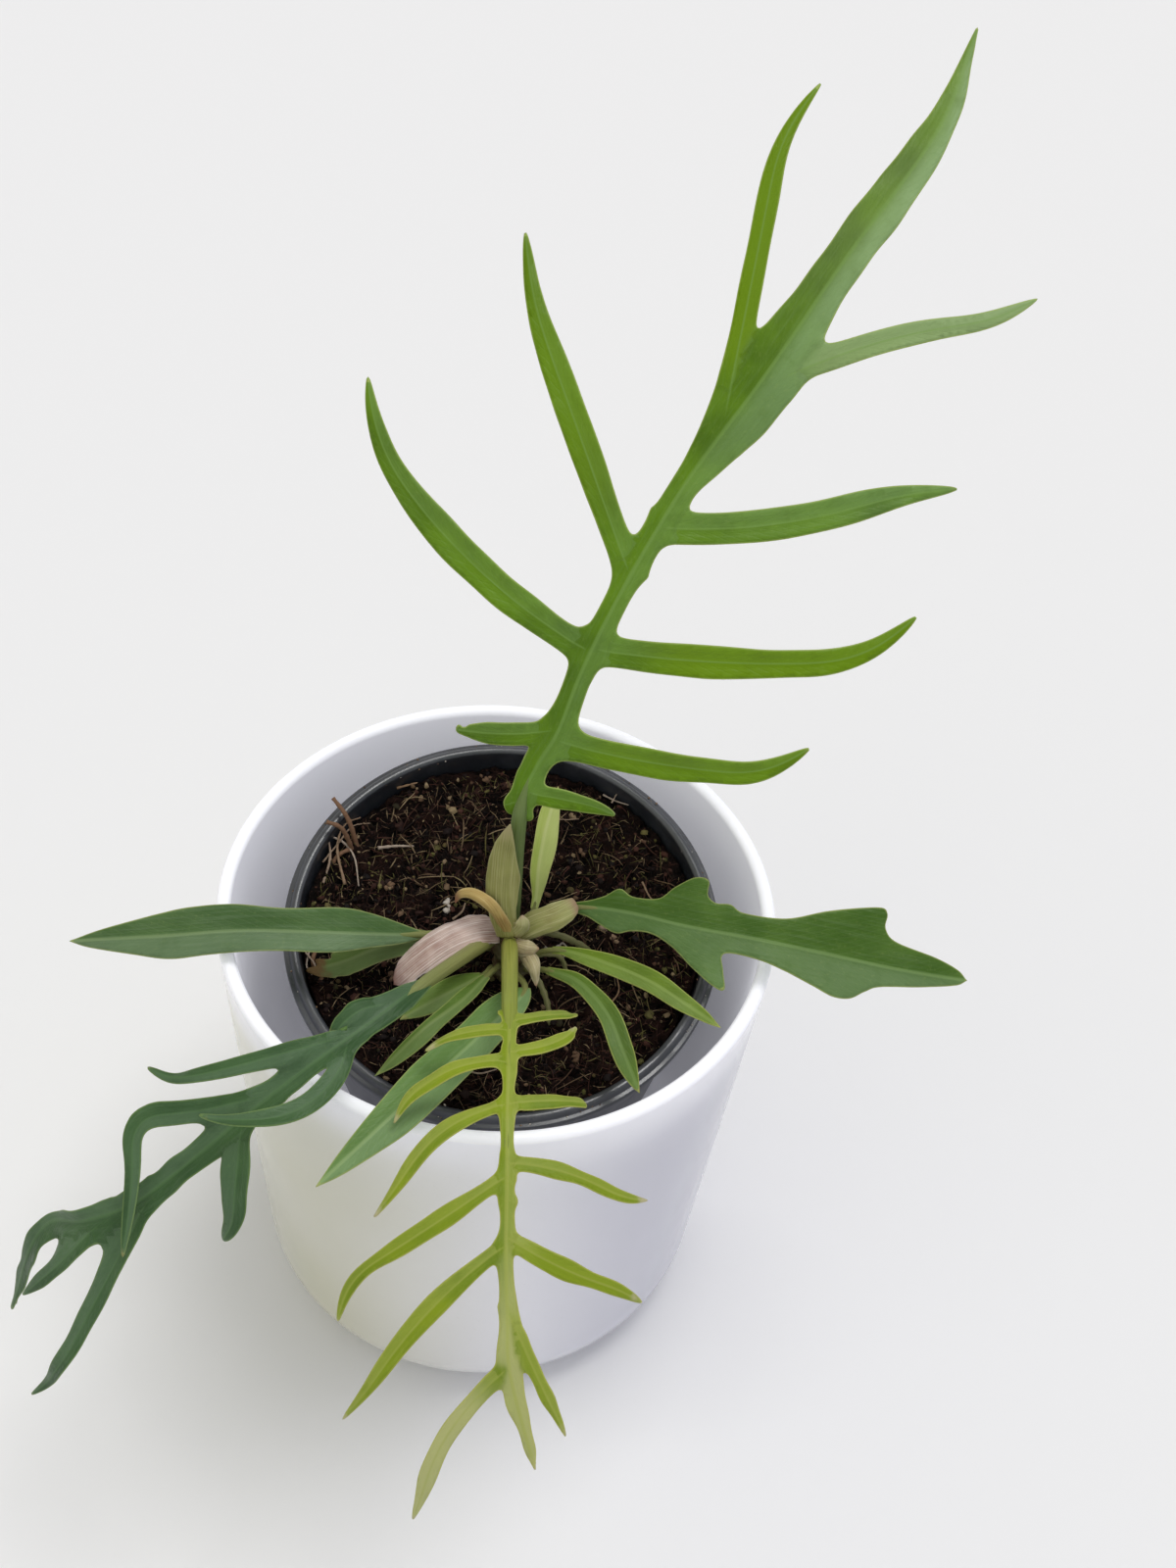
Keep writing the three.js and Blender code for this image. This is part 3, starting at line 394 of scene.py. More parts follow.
def flat_mesh(loops, lines, step):
    """Triangles that fill flat outlines, with rows of points along lines."""
    edge = np.vstack(loops)
    low, high = edge.min(0), edge.max(0)
    rows = np.arange(low[1], high[1], step * .866)
    grid = []
    for i, y in enumerate(rows):
        x = np.arange(low[0] + (i % 2) * step / 2, high[0], step)
        grid.append(np.stack([x, np.full(len(x), y)], -1))
    grid = np.vstack(grid)
    lines = lines[within(lines, loops)]
    lines = lines[nearest(lines, edge) > step * .4]
    grid = grid[nearest(grid, lines) > step * .62]
    grid = grid[within(grid, loops)]
    grid = grid[nearest(grid, edge) > step * .55]
    points = np.vstack([edge, lines, grid])
    edges, first = [], 0
    for loop in loops:
        n = len(loop)
        edges += [(first + i, first + (i + 1) % n) for i in range(n)]
        first += n
    made = delaunay_2d_cdt([Vector(p) for p in points], edges, [], 0, 1e-5)
    flat = np.array([(v.x, v.y) for v in made[0]])
    triangles = np.array([f for f in made[2] if len(f) == 3])
    triangles = triangles[within(flat[triangles].mean(1), loops)]
    used = np.unique(triangles)
    fresh = np.full(len(flat), -1)
    fresh[used] = np.arange(len(used))
    return flat[used], fresh[triangles], edge


def thicken(middle, triangles, half, facing):
    """Closed sheet round a middle surface: upper points first, then lower ones."""
    normal = np.zeros_like(middle)
    a, b, c = (middle[triangles[:, k]] for k in range(3))
    face = np.cross(b - a, c - a)
    if (face * facing[triangles[:, 0]]).sum() < 0:
        triangles = triangles[:, ::-1]
        face = -face
    for k in range(3):
        np.add.at(normal, triangles[:, k], face)
    normal = unit(normal)
    vertices = np.vstack([middle + normal * half[:, None], middle - normal * half[:, None]])
    n = len(middle)
    seen = {(t[k], t[(k + 1) % 3]): True for t in triangles for k in range(3)}
    rim = [(a, b) for a, b in seen if (b, a) not in seen]
    faces = [tuple(t) for t in triangles] + [tuple(t[::-1] + n) for t in triangles]
    faces += [(b, a, a + n, b + n) for a, b in rim]
    return vertices, faces


def both_skins(**values):
    """Attributes for a thickened sheet: those of the upper points, then those of the lower ones."""
    doubled = {key: np.concatenate([value, value]) for key, value in values.items()}
    doubled["under"] = np.repeat([0.0, 1.0], len(values["rim"]))
    return doubled


def lobe_share(share):
    return np.sin(np.pi * (np.clip(share, 0, 1) + .35) / 1.35) ** .6


# Lobes shorter than this are round buds, which stay in the blade's own surface.
BUD = 6


class Lobe:
    """One lobe: straight while the blade is laid flat, then turned along its own curve."""

    def __init__(self, spine, row, wing, fullness):
        side, place, length, width, angle, bend, hook, droop = row[:8]
        start = row[8] if len(row) > 8 else .6
        end = start + .25 if start < .6 else 1
        self.side, self.place, self.length, self.width = side, place, length, width
        self.fullness = fullness
        turn = math.radians(angle)
        self.ahead = np.array([math.cos(turn), side * math.sin(turn)])
        self.out = np.array([math.sin(turn), -side * math.cos(turn)])
        self.root = .9 * wing / math.sin(turn)
        point, along, across, up = (x[0] for x in spine.frames(np.array([place])))
        across = across * side
        step = .4
        s = np.arange(0, length + 8, step) + step / 2
        share = np.clip((s - self.root) / (length - self.root), 0, 1.1)
        turns = np.radians(angle + bend * share + hook * smoothstep(share, start, end))[:, None]
        fall = np.radians(droop * share)[:, None]
        level = along * np.cos(turns) + across * np.sin(turns)
        ahead = level * np.cos(fall) - up * np.sin(fall)
        self.up = up * np.cos(fall) + level * np.sin(fall)
        self.across = np.cross(ahead, self.up) * -side
        self.middle = point + np.vstack([[0, 0, 0], np.cumsum(ahead * step, 0)[:-1]])
        self.places = s - step / 2

    def local(self, flat):
        offset = flat - np.array([self.place, 0])
        return offset @ self.ahead, offset @ self.out

    def half(self, a):
        share = (a - self.root) / (self.length - self.root)
        return self.width / 2 * lobe_share(share) * self.fullness(np.clip(share, 0, 1))

    def distance(self, flat):
        a, b = self.local(flat)
        if self.length < BUD:
            reach = self.length - self.width / 2
            near = np.clip(a, 0, reach)
            return np.hypot(a - near, b) - self.width / 2
        return np.maximum(np.abs(b) - self.half(np.clip(a, 0, self.length)),
                          np.maximum(a - self.length, -a - 1))

    def solid(self, a, b, rise):
        middle = between(a, self.places, self.middle)
        across = between(a, self.places, self.across)
        up = unit(between(a, self.places, self.up))
        return middle + across * b[..., None] + up * rise[..., None], up


def widths(table, s, column, length):
    """Width of the wing along the midrib, with the corners of its table rounded off."""
    x = [row[0] for row in table] + [length]
    y = [row[column] for row in table] + [.15]
    rough = np.interp(s, x, y)
    for offset in (1.5, 3):
        rough = rough * .5 + .25 * (np.interp(s - offset, x, y) + np.interp(s + offset, x, y))
    return np.minimum(rough, np.interp(s, x, y) + .8)


def keel(x, fold):
    """How far a folded blade rises at a distance from its vein."""
    return math.tan(math.radians(fold)) * (np.sqrt(x * x + .6) - math.sqrt(.6))


def rib_bar(spine, start, end, radii, sink, sides, ridges=0, depth=0.0):
    """Petiole and midrib as one bar that sinks into the underside of the blade."""
    s = np.concatenate([np.arange(start, end, 1.6), [end]])
    p, _, _, up = spine.frames(s)
    r = np.interp(s, [x[0] for x in radii], [x[1] for x in radii])
    down = np.interp(s, [x[0] for x in sink], [x[1] for x in sink])
    mean_up = unit(up.mean(0))
    return tube(p - up * down[:, None], r, sides, ridges, depth, mean_up)


def add_ribs(made, vertices, faces, values, length):
    made.add(vertices, faces, {**values, "along": np.clip(values["u"] / length, 0, 1)}, 1)


def cut_leaf(leaf, materials):
    """Blade from a wing along the midrib and lobes, laid out flat, filled and then bent into place."""
    spine = Spine(leaf["path"], leaf["facing"])
    start, length = leaf["start"], spine.length
    table = leaf["wings"]
    ragged = leaf.get("ragged", [])
    draw = np.random.default_rng(leaf["seed"])

    def fullness():
        a, b, phase = draw.uniform(.6, 1.4), draw.uniform(2.2, 3.6), draw.uniform(0, 6.28)
        fuller, uneven = leaf.get("fuller", 1), leaf["uneven"]
        return lambda share: fuller * (1 + uneven * (np.sin(share * b * 3.14 + phase)
                                                     + .5 * np.sin(share * b * 6.28 + phase * a)))

    lobes = []
    for row in leaf["lobes"]:
        column = 1 if row[0] < 0 else 2
        wing = float(widths(table, np.array(row[1]), column, length))
        lobes.append(Lobe(spine, row, wing, fullness()))
    reach = [lobe.ahead * lobe.length + (lobe.place, 0) for lobe in lobes]
    reach = np.array(reach + [(length, 0), (start, 0)])
    low, high = reach.min(0) - 8, reach.max(0) + 8
    grid = .42
    xs, ys = np.arange(low[0], high[0], grid), np.arange(low[1], high[1], grid)
    flat = np.stack(np.meshgrid(xs, ys, indexing="ij"), -1)

    def distances(points):
        x, y = points[..., 0], points[..., 1]
        wing = np.maximum(np.maximum(y - widths(table, x, 2, length), -y - widths(table, x, 1, length)),
                          np.maximum(start - x, x - length))
        wing = wing + leaf["uneven"] * 4 * ripple(x, y, leaf["seed"], 9)
        found = []
        for i, lobe in enumerate(lobes):
            d = lobe.distance(points)
            if i in ragged:
                a, b = lobe.local(points)
                torn = smoothstep(a / lobe.length, .78, .95)
                d = d + torn * (.45 + .7 * ripple(a, b, i, 2.6))
            found.append(d)
        return wing, found

    wing, found = distances(flat)
    soft = leaf["soft"]
    total = sum(np.exp(-np.clip(d / soft, -30, 30)) for d in (wing, *found))
    loops = contours(-soft * np.log(total), xs, ys)
    big = max(loops, key=len)
    loops = [spaced(smoothed(loop), leaf["step"] * .62) for loop in loops
             if loop is big or within(loop[:1], [big])[0]]

    step = leaf["step"]
    row = np.arange(start + .5, length - 1, step * .8)
    lines = [np.stack([row, np.full(len(row), y)], -1) for y in (-1.1, -.5, 0, .5, 1.1)]
    for lobe in lobes:
        if lobe.length > 8:
            a = np.arange(lobe.root * .3, lobe.length - .8, step * .8)
            for b in (-.55, 0, .55):
                if b == 0 or lobe.width > 3.5:
                    lines.append(np.array([lobe.place, 0]) + a[:, None] * lobe.ahead + b * lobe.out)
    points, triangles, edge = flat_mesh(loops, np.vstack(lines), step)

    x, y = points[:, 0], points[:, 1]
    rim = nearest(points, edge)
    fold = leaf["fold"]
    base, _, across, up = spine.frames(x)
    wave = leaf["wave"] * ripple(x, y * .3, leaf["seed"] + 5, 16) * smoothstep(-rim, -3.5, 0)
    on_mid = base + across * y[:, None] + up * (keel(y, fold) + wave)[:, None]
    facing = up.copy()
    wing, found = distances(points)
    blend = leaf["blend"]
    near = [np.where(np.sign(y) == lobe.side, np.exp(-np.clip(d / blend, -40, 40)), 0)
            for lobe, d in zip(lobes, found)]
    near = np.array(near) / (np.sum(near, 0) + np.exp(-np.clip(wing / blend, -40, 40)))
    result, weight = on_mid.copy(), np.zeros(len(x))
    vein, u, v = np.abs(y), x - start, y.copy()
    tip = smoothstep(x, length - 22, length) * smoothstep(-np.abs(y), -4, -1)
    parts = np.zeros_like(result)
    tints = leaf.get("tints", [0] * (len(lobes) + 1))
    tint = tints[-1] * smoothstep(x, .55 * length, .8 * length) * (1 - np.sum(near, 0))
    for lobe, share, own in zip(lobes, near, tints):
        a, b = lobe.local(points)
        w = share * smoothstep(a, lobe.root * .3, lobe.root + lobe.width * .8)
        tint = tint + own * share * smoothstep(a, 0, lobe.length * .3)
        if lobe.length < BUD:
            w = w * 0
        column = 1 if lobe.side < 0 else 2
        lift = keel(.9 * widths(table, np.array(lobe.place), column, length), fold)
        own_wave = leaf["wave"] * ripple(a, b * .3, leaf["seed"] + int(lobe.place), 15)
        own_wave = own_wave * smoothstep(-rim, -3, 0)
        solid, solid_up = lobe.solid(a, b, keel(b, fold) + lift + own_wave)
        parts += solid * w[:, None]
        facing += solid_up * w[:, None]
        weight += w
        mine = w > .35
        outer = (a > lobe.root * .3) & (np.abs(b) < lobe.width * .6) & (np.sign(y) == lobe.side)
        faint = .25 + .5 * (1 - smoothstep(a, 0, lobe.root))
        vein = np.where(outer, np.minimum(vein, np.abs(b) + faint), vein)
        u = np.where(mine, a, u)
        v = np.where(mine, b, v)
        tip = np.where(mine, smoothstep(a, lobe.length - 20, lobe.length), tip)
    result = on_mid * (1 - weight)[:, None] + parts
    half = .13 + .17 * smoothstep(rim, 0, 1.6) + .16 * smoothstep(-vein, -.9, 0)
    vertices, faces = thicken(result, triangles, half, unit(facing))
    made = Parts()
    made.add(vertices, faces, both_skins(rim=rim, vein=vein, u=u, v=v, tip=tip, wide=y, tint=tint,
                                         along=np.clip(x / length, 0, 1)))
    bar = rib_bar(spine, 0, length - 2, leaf["ribs"], leaf["sink"], 20, 7, .09)
    add_ribs(made, *bar, length)
    if "collar" in leaf:
        ring = rib_bar(spine, 0, leaf["collar"], [(0, 2.5), (1, 2.62)], [(0, 0), (1, 0)], 20)
        made.add(*ring, 2)
    made.make(leaf["name"] + "_blade", materials, [leaf["name"]], leaf["name"])


def plain_leaf(leaf, materials):
    """Undivided blade from rows of [distance, width] on each side."""
    spine = Spine(leaf["path"], leaf["facing"])
    length = spine.length
    outline = [(s, -w) for s, w in leaf["left"]] + [(length, 0)] + [(s, w) for s, w in leaf["right"][::-1]]
    p = np.array(outline, float)
    tip_row = len(leaf["left"])
    ends = np.vstack([p[:1], p, p[-1:]])
    curve = []
    t = np.linspace(0, 1, 10, endpoint=False)[:, None]
    for i in range(len(p) - 1):
        a, b, c, d = ends[i:i + 4]
        if i == tip_row - 1:
            d = 2 * c - b
        if i == tip_row:
            a = 2 * b - c
        curve.append(bow(a, b, c, d, t))
    curve.append(p[-1:])
    step = leaf["step"]
    loop = spaced(np.vstack(curve), step * .62)
    torn = leaf.get("torn", 0)
    if torn:
        push = torn * smoothstep(loop[:, 0], length - 16, length - 4)
        push = push * ripple(loop[:, 0], loop[:, 1], 3, 3)
        loop = loop + np.stack([push, push * .6], -1)
    row = np.arange(leaf["start"] + .5, length - 1, step * .8)
    lines = np.vstack([np.stack([row, np.full(len(row), y)], -1) for y in (-1, -.45, 0, .45, 1)])
    points, triangles, edge = flat_mesh([loop], lines, step)
    x, y = points[:, 0], points[:, 1]
    rim = nearest(points, edge)
    base, _, across, up = spine.frames(x)
    wave = leaf.get("wave", .5) * ripple(x, y * .3, leaf["seed"], 19) * smoothstep(-rim, -4, 0)
    curl = leaf.get("curl", 0) * (np.abs(y) / 6) ** 2
    middle = base + across * y[:, None] + up * (keel(y, leaf["fold"]) + wave + curl)[:, None]
    half = .13 + .17 * smoothstep(rim, 0, 1.6) + .14 * smoothstep(-np.abs(y), -.9, 0)
    vertices, faces = thicken(middle, triangles, half, up)
    made = Parts()
    made.add(vertices, faces, both_skins(rim=rim, vein=np.abs(y), u=x - leaf["start"], v=y, wide=y,
                                         tip=smoothstep(x, length - 18, length),
                                         along=np.clip(x / length, 0, 1)))
    radius = leaf["petiole"]
    ribs = [(0, radius), (leaf["start"], radius * .9), (leaf["start"] + 12, .7), (length, .25)]
    sink = [(leaf["start"] - 3, 0), (leaf["start"] + 10, .55), (length, .2)]
    add_ribs(made, *rib_bar(spine, 0, length - 2, ribs, sink, 12, 5, .08), length)
    made.make(leaf["name"] + "_blade", materials, [leaf["name"]], leaf["name"])


# Shapes of leaves, sheaths and roots, in millimetres and degrees

# Lobes: side, distance, length, width, angle, bend, hook, droop and where the hook starts.
# Wings: distance, width to the left and width to the right.
# Ribs and sink: distance, then the rib's radius or how deep it sits under the blade.
# Tints: how far each lobe, and last the leaf's end, goes to the vivid colour or below 0 to the pale one.
CUT_LEAVES = [
    dict(name="leaf_cut_upright", start=44, seed=11, soft=1.5, step=1.25, fold=15, wave=.5, uneven=.05,
         blend=1.3, ragged=[3],
         tints=[0, 0, .2, .2, .6, .3, .8, .6, 0, 1, -.5, -.3],
         path=[[4, -4, 156], [4.2, .2, 199], [7.3, 4.9, 211.5], [12, 8.3, 222], [17, 18, 237],
               [26, 31, 257], [38, 47, 277], [54.5, 64.5, 299], [71.5, 86.5, 321], [91, 114, 342],
               [99, 139, 357]],
         facing=[[0, -.6, .8], [0, -.62, .78], [0, -.5, .86]],
         wings=[[44, 1.6, 1.6], [52, 3.5, 3.2], [66, 4, 3.6], [84, 3.2, 3.2], [104, 3, 3], [126, 3, 3.2],
                [142, 3.4, 4], [154, 5, 7], [166, 7.5, 9], [176, 8.6, 8.6], [188, 6.4, 6.2],
                [204, 5.2, 5.2], [222, 5.8, 5.8], [242, 4.8, 4.6], [258, 3, 3], [270, 1.6, 1.6]],
         lobes=[[-1, 47, 4.5, 3.4, 115, 0, 0, 10], [1, 43, 3.5, 3, 120, 0, 0, 10],
                [1, 50, 25, 5.5, 80, 10, 20, 15], [-1, 70, 29, 6.2, 122, -13, 0, 15],
                [1, 67, 68, 8, 73, -11, -34, 15], [-1, 92, 95, 8.7, 85, -31, -21, 15],
                [1, 93, 86, 8.3, 72, -14, -36, 15], [-1, 114, 92, 7.8, 49, 2, -15, 15],
                [1, 128, 77, 8.4, 62, -30, 20, 15], [-1, 156, 92, 6, 26, 2, -28, 15],
                [1, 169, 74, 6, 31, 22, -27, 15]],
         ribs=[[0, 2.4], [43, 2.1], [50, 1.5], [60, 1.2], [150, 1], [270, .35]],
         sink=[[43, 0], [49, .8], [60, 1.05], [150, .95], [272, .33]]),
    dict(name="leaf_cut_front", start=48, seed=12, soft=.7, step=.85, fold=14, wave=.35, uneven=.1, blend=.6,
         collar=.9, fuller=1.2, ragged=[1, 3, 5],
         tints=[0, 0, 0, 0, 0, 0, 0, .5, .5, 0, .8, .3, .5, -.9, -.7],
         path=[[4.5, -12, 158], [7.5, -53, 183.5], [10, -84, 186], [12, -102.5, 181.5], [13.5, -116, 174],
               [15.5, -127, 164], [17.5, -136, 153], [26, -148, 128]],
         facing=[[0, -.35, .94], [0, -.75, .66], [0, -.95, .3]],
         wings=[[48, 1.5, 1.5], [58, 1.6, 1.6], [125, 1.8, 1.8], [138, 2.6, 2.4], [146, 3, 2.6],
                [158, 2, 2], [168, 1.3, 1.3]],
         lobes=[[1, 50, 3, 2.6, 100, 0, 0, 10], [-1, 54, 20, 3.4, 106, 11, 10, 25],
                [1, 57, 22, 3.3, 93, -14, -13, 25], [-1, 64, 21, 3.5, 94, 48, 28, 10],
                [1, 67, 34, 3.6, 93, -46, -15, 40], [-1, 79, 23, 3.4, 98, 4, 0, 40],
                [1, 79, 44, 3.7, 78, -58, 30, 45], [-1, 94, 38, 3.3, 86, -31, 41, 45],
                [1, 97, 59, 4, 56, 13, -50, 45], [-1, 103, 2.6, 2.6, 90, 0, 0, 20],
                [-1, 111, 39, 4, 58, 19, -19, 40], [1, 113, 65, 4.1, 54, -28, 14, 40],
                [-1, 128, 36, 3, 21, 0, -3, 20], [1, 142, 62, 4, 51, -45, 15, 30]],
         ribs=[[0, 2.4], [48, 2.1], [56, 1.5], [90, 1.2], [168, .5]],
         sink=[[48, 0], [54, .8], [60, .95], [100, .95], [170, .45]]),
    dict(name="leaf_cut_left", start=38, seed=13, soft=1, step=1.1, fold=16, wave=.8, uneven=.06, blend=.9,
         path=[[-1, -10.5, 157], [-16, -42, 175.5], [-28, -57.5, 177], [-41, -70, 174], [-54, -79.5, 166],
               [-73, -89.5, 148], [-84, -93, 137.5], [-96, -93, 128], [-108, -88.5, 116.5],
               [-115, -90.5, 102], [-121.5, -93.5, 77]],
         facing=[[-.2, -.5, .84], [-.45, -.65, .6], [-.6, -.7, .4]],
         wings=[[38, 1.6, 1.6], [44, 3.5, 2.6], [50, 4, 3.4], [58, 3, 3], [68, 3.6, 3], [80, 2.8, 2.8],
                [90, 3.6, 3], [104, 4, 3.6], [118, 3.8, 3.2], [136, 4, 3.6], [150, 4.6, 3.6],
                [165, 4.4, 2.6], [180, 3.8, 2.4], [200, 2.6, 2]],
         lobes=[[1, 49, 21, 6, 24, -40, 0, 40], [1, 63, 57, 5, 19, 21, 39, 35],
                [-1, 65, 49, 5.4, 39, -116, 21, 10], [1, 88, 71, 5.6, 22, 35, -95, 16, .34],
                [-1, 98, 36, 7.8, 47, -17, -31, 40], [-1, 130, 82, 5.8, 25, -15, -14, 25],
                [-1, 145, 44, 4.6, 20, -10, 0, 20]],
         ribs=[[0, 2.2], [38, 1.9], [46, 1.3], [60, 1.1], [200, .4]],
         sink=[[38, 0], [44, .8], [60, .95], [210, .36]]),
]

# Undivided blades: rows of distance and width on either side of the midrib.
PLAIN_LEAVES = [
    dict(name="leaf_lance_left", start=20, petiole=1.2, seed=21, step=1.1, fold=14, wave=.5,
         path=[[-1, -6, 154], [-10, -8, 155.5], [-20, -12, 157.6], [-40, -20.2, 165.2], [-65, -24, 167],
               [-88, -25, 162], [-114.5, -24, 154]],
         facing=[[0, -.5, .86], [.1, -.55, .83]],
         left=[[20, 1], [26, 2.5], [36, 3.8], [46, 5.3], [60, 5.5], [79, 6], [90, 6.4], [101, 4.5],
               [114, 2]],
         right=[[20, 1], [27, 3.2], [36, 5.6], [45, 6.8], [60, 6], [73, 7.2], [84, 7], [92, 6], [101, 4.4],
                [112, 2.2]]),
    dict(name="leaf_worn_left", start=12, petiole=.9, seed=22, step=.8, fold=10, wave=.5, torn=1.2,
         path=[[-1, -9, 151], [-8, -11, 153], [-20.5, -12.5, 154.5], [-30.5, -14.5, 153.5],
               [-41, -19, 150.5], [-51, -20.5, 147]],
         facing=[[0, -.4, .9], [0, -.4, .9]],
         left=[[12, 1], [20, 3], [30, 4], [40, 4.2], [48, 2.8]],
         right=[[12, 1], [19, 3.4], [30, 4], [40, 3.4], [48, 2]]),
    dict(name="leaf_narrow_front", start=12, petiole=.9, seed=23, step=.7, fold=14, wave=.3,
         path=[[2, -14, 150], [-1, -24, 157], [-6, -36, 162], [-14, -46, 163], [-21, -54, 160],
               [-26, -58.5, 156]],
         facing=[[-.1, -.3, .95], [-.1, -.4, .9]],
         left=[[12, 1.2], [20, 2], [28, 2], [35, 2.6], [43, 3.5], [52, 2.2]],
         right=[[12, 1.2], [18, 1.8], [26, 2.5], [38, 1.6], [50, 1.2]]),
    dict(name="leaf_lance_front", start=13, petiole=1, seed=24, step=1, fold=15, wave=.4,
         path=[[6, -15, 150], [10, -27, 157], [2.4, -45.4, 165], [-7.8, -63, 169], [-18.8, -80.2, 171],
               [-34.7, -99.2, 166]],
         facing=[[0, -.3, .95], [-.1, -.5, .86]],
         left=[[13, 1.4], [20, 3], [30, 4.4], [44, 5.4], [55, 5.8], [67, 6.2], [77, 6], [86, 4.5],
               [96, 2.4]],
         right=[[13, 1.4], [18, 3.6], [24, 5], [33, 5.6], [45, 5.4], [60, 5.9], [69, 5.4], [82, 4],
                [94, 2]]),
    dict(name="leaf_narrow_low", start=9, petiole=.9, seed=25, step=.7, fold=12, wave=.3,
         path=[[0, -14, 149], [-2, -21, 154], [-9, -30, 158], [-16, -36, 158], [-22, -40, 156]],
         facing=[[-.1, -.3, .95], [-.1, -.4, .9]],
         left=[[9, 1], [16, 3.2], [24, 3.8], [32, 2.4]],
         right=[[9, 1], [16, 3.2], [24, 3.8], [32, 2.4]]),
    dict(name="leaf_lance_right", start=9, petiole=.9, seed=26, step=.7, fold=14, wave=.3,
         path=[[10, -11, 152], [17, -13.5, 159], [27, -18.8, 164], [42, -26.4, 167], [53, -32.4, 166],
               [63, -36, 162]],
         facing=[[.1, -.4, .9], [.1, -.45, .88]],
         left=[[9, 1], [14, 1.3], [22, 2.2], [32, 3], [39, 3.3], [46, 3], [57, 1.8]],
         right=[[9, 1], [14, 1.4], [20, 2.4], [28, 3], [39, 2.9], [50, 2.7], [59, 1.3]]),
    dict(name="leaf_curved_right", start=10, petiole=.9, seed=27, step=.7, fold=14, wave=.3,
         path=[[9.5, -15, 151], [16, -20, 158], [24.6, -27.4, 164], [32.6, -37.6, 165], [37.4, -47, 163],
               [43, -55.8, 157]],
         facing=[[0, -.4, .9], [.1, -.5, .85]],
         left=[[10, 1], [15, 1.2], [21, 2], [28, 2.4], [35, 3], [42, 3], [49, 2.7], [55, 1.5]],
         right=[[10, 1], [16, 1.8], [27, 2.4], [36, 2.6], [43, 3], [51, 3], [57, 1.4]]),
    dict(name="leaf_pale_back", start=7, petiole=.9, seed=28, step=.7, fold=12, wave=.3,
         path=[[8, -3, 152], [10, 3.5, 157], [10, 11, 166], [11, 20, 172], [13, 32, 175]],
         facing=[[0, -.7, .7], [0, -.6, .8]],
         left=[[7, 1], [11, 1.2], [17, 2.2], [25, 2.4], [35, 2.8], [40, 1.2]],
         right=[[7, 1], [11, 1.6], [17, 3], [26, 4], [37, 2.2]]),
    dict(name="leaf_lobed_right", start=15, petiole=1.2, seed=29, step=1.1, fold=15, wave=.5,
         path=[[10.5, -6, 155], [14.5, -3.5, 160], [22, -2, 164], [35, -5, 168], [51, -10, 171],
               [70, -12, 171], [89, -12, 168], [111, -11, 163], [130.3, -7.2, 156.4]],
         facing=[[0, -.5, .86], [0, -.55, .83]],
         left=[[15, 1.5], [19, 2], [23, 3.5], [27, 6], [31, 4.4], [38, 5.4], [42, 9.5], [47, 13], [51, 13],
               [51.5, 9.2], [54, 7.5], [58, 7.8], [62, 6.2], [73, 6.9], [84, 11.2], [97, 15], [100, 13.8],
               [100.5, 10], [104.5, 7], [117, 5], [125, 2.5]],
         right=[[15, 1.5], [19, 2.7], [23, 4.5], [28.5, 6.3], [33, 5], [39, 4.4], [45, 6.5], [51, 11],
                [57, 15], [60, 15.4], [59, 10.5], [58.5, 5.6], [67, 5.4], [75, 7], [83, 9.4], [89, 11.2],
                [94, 10.7], [98, 8], [102.5, 5.7], [114.5, 3.7], [125, 1.8]]),
]

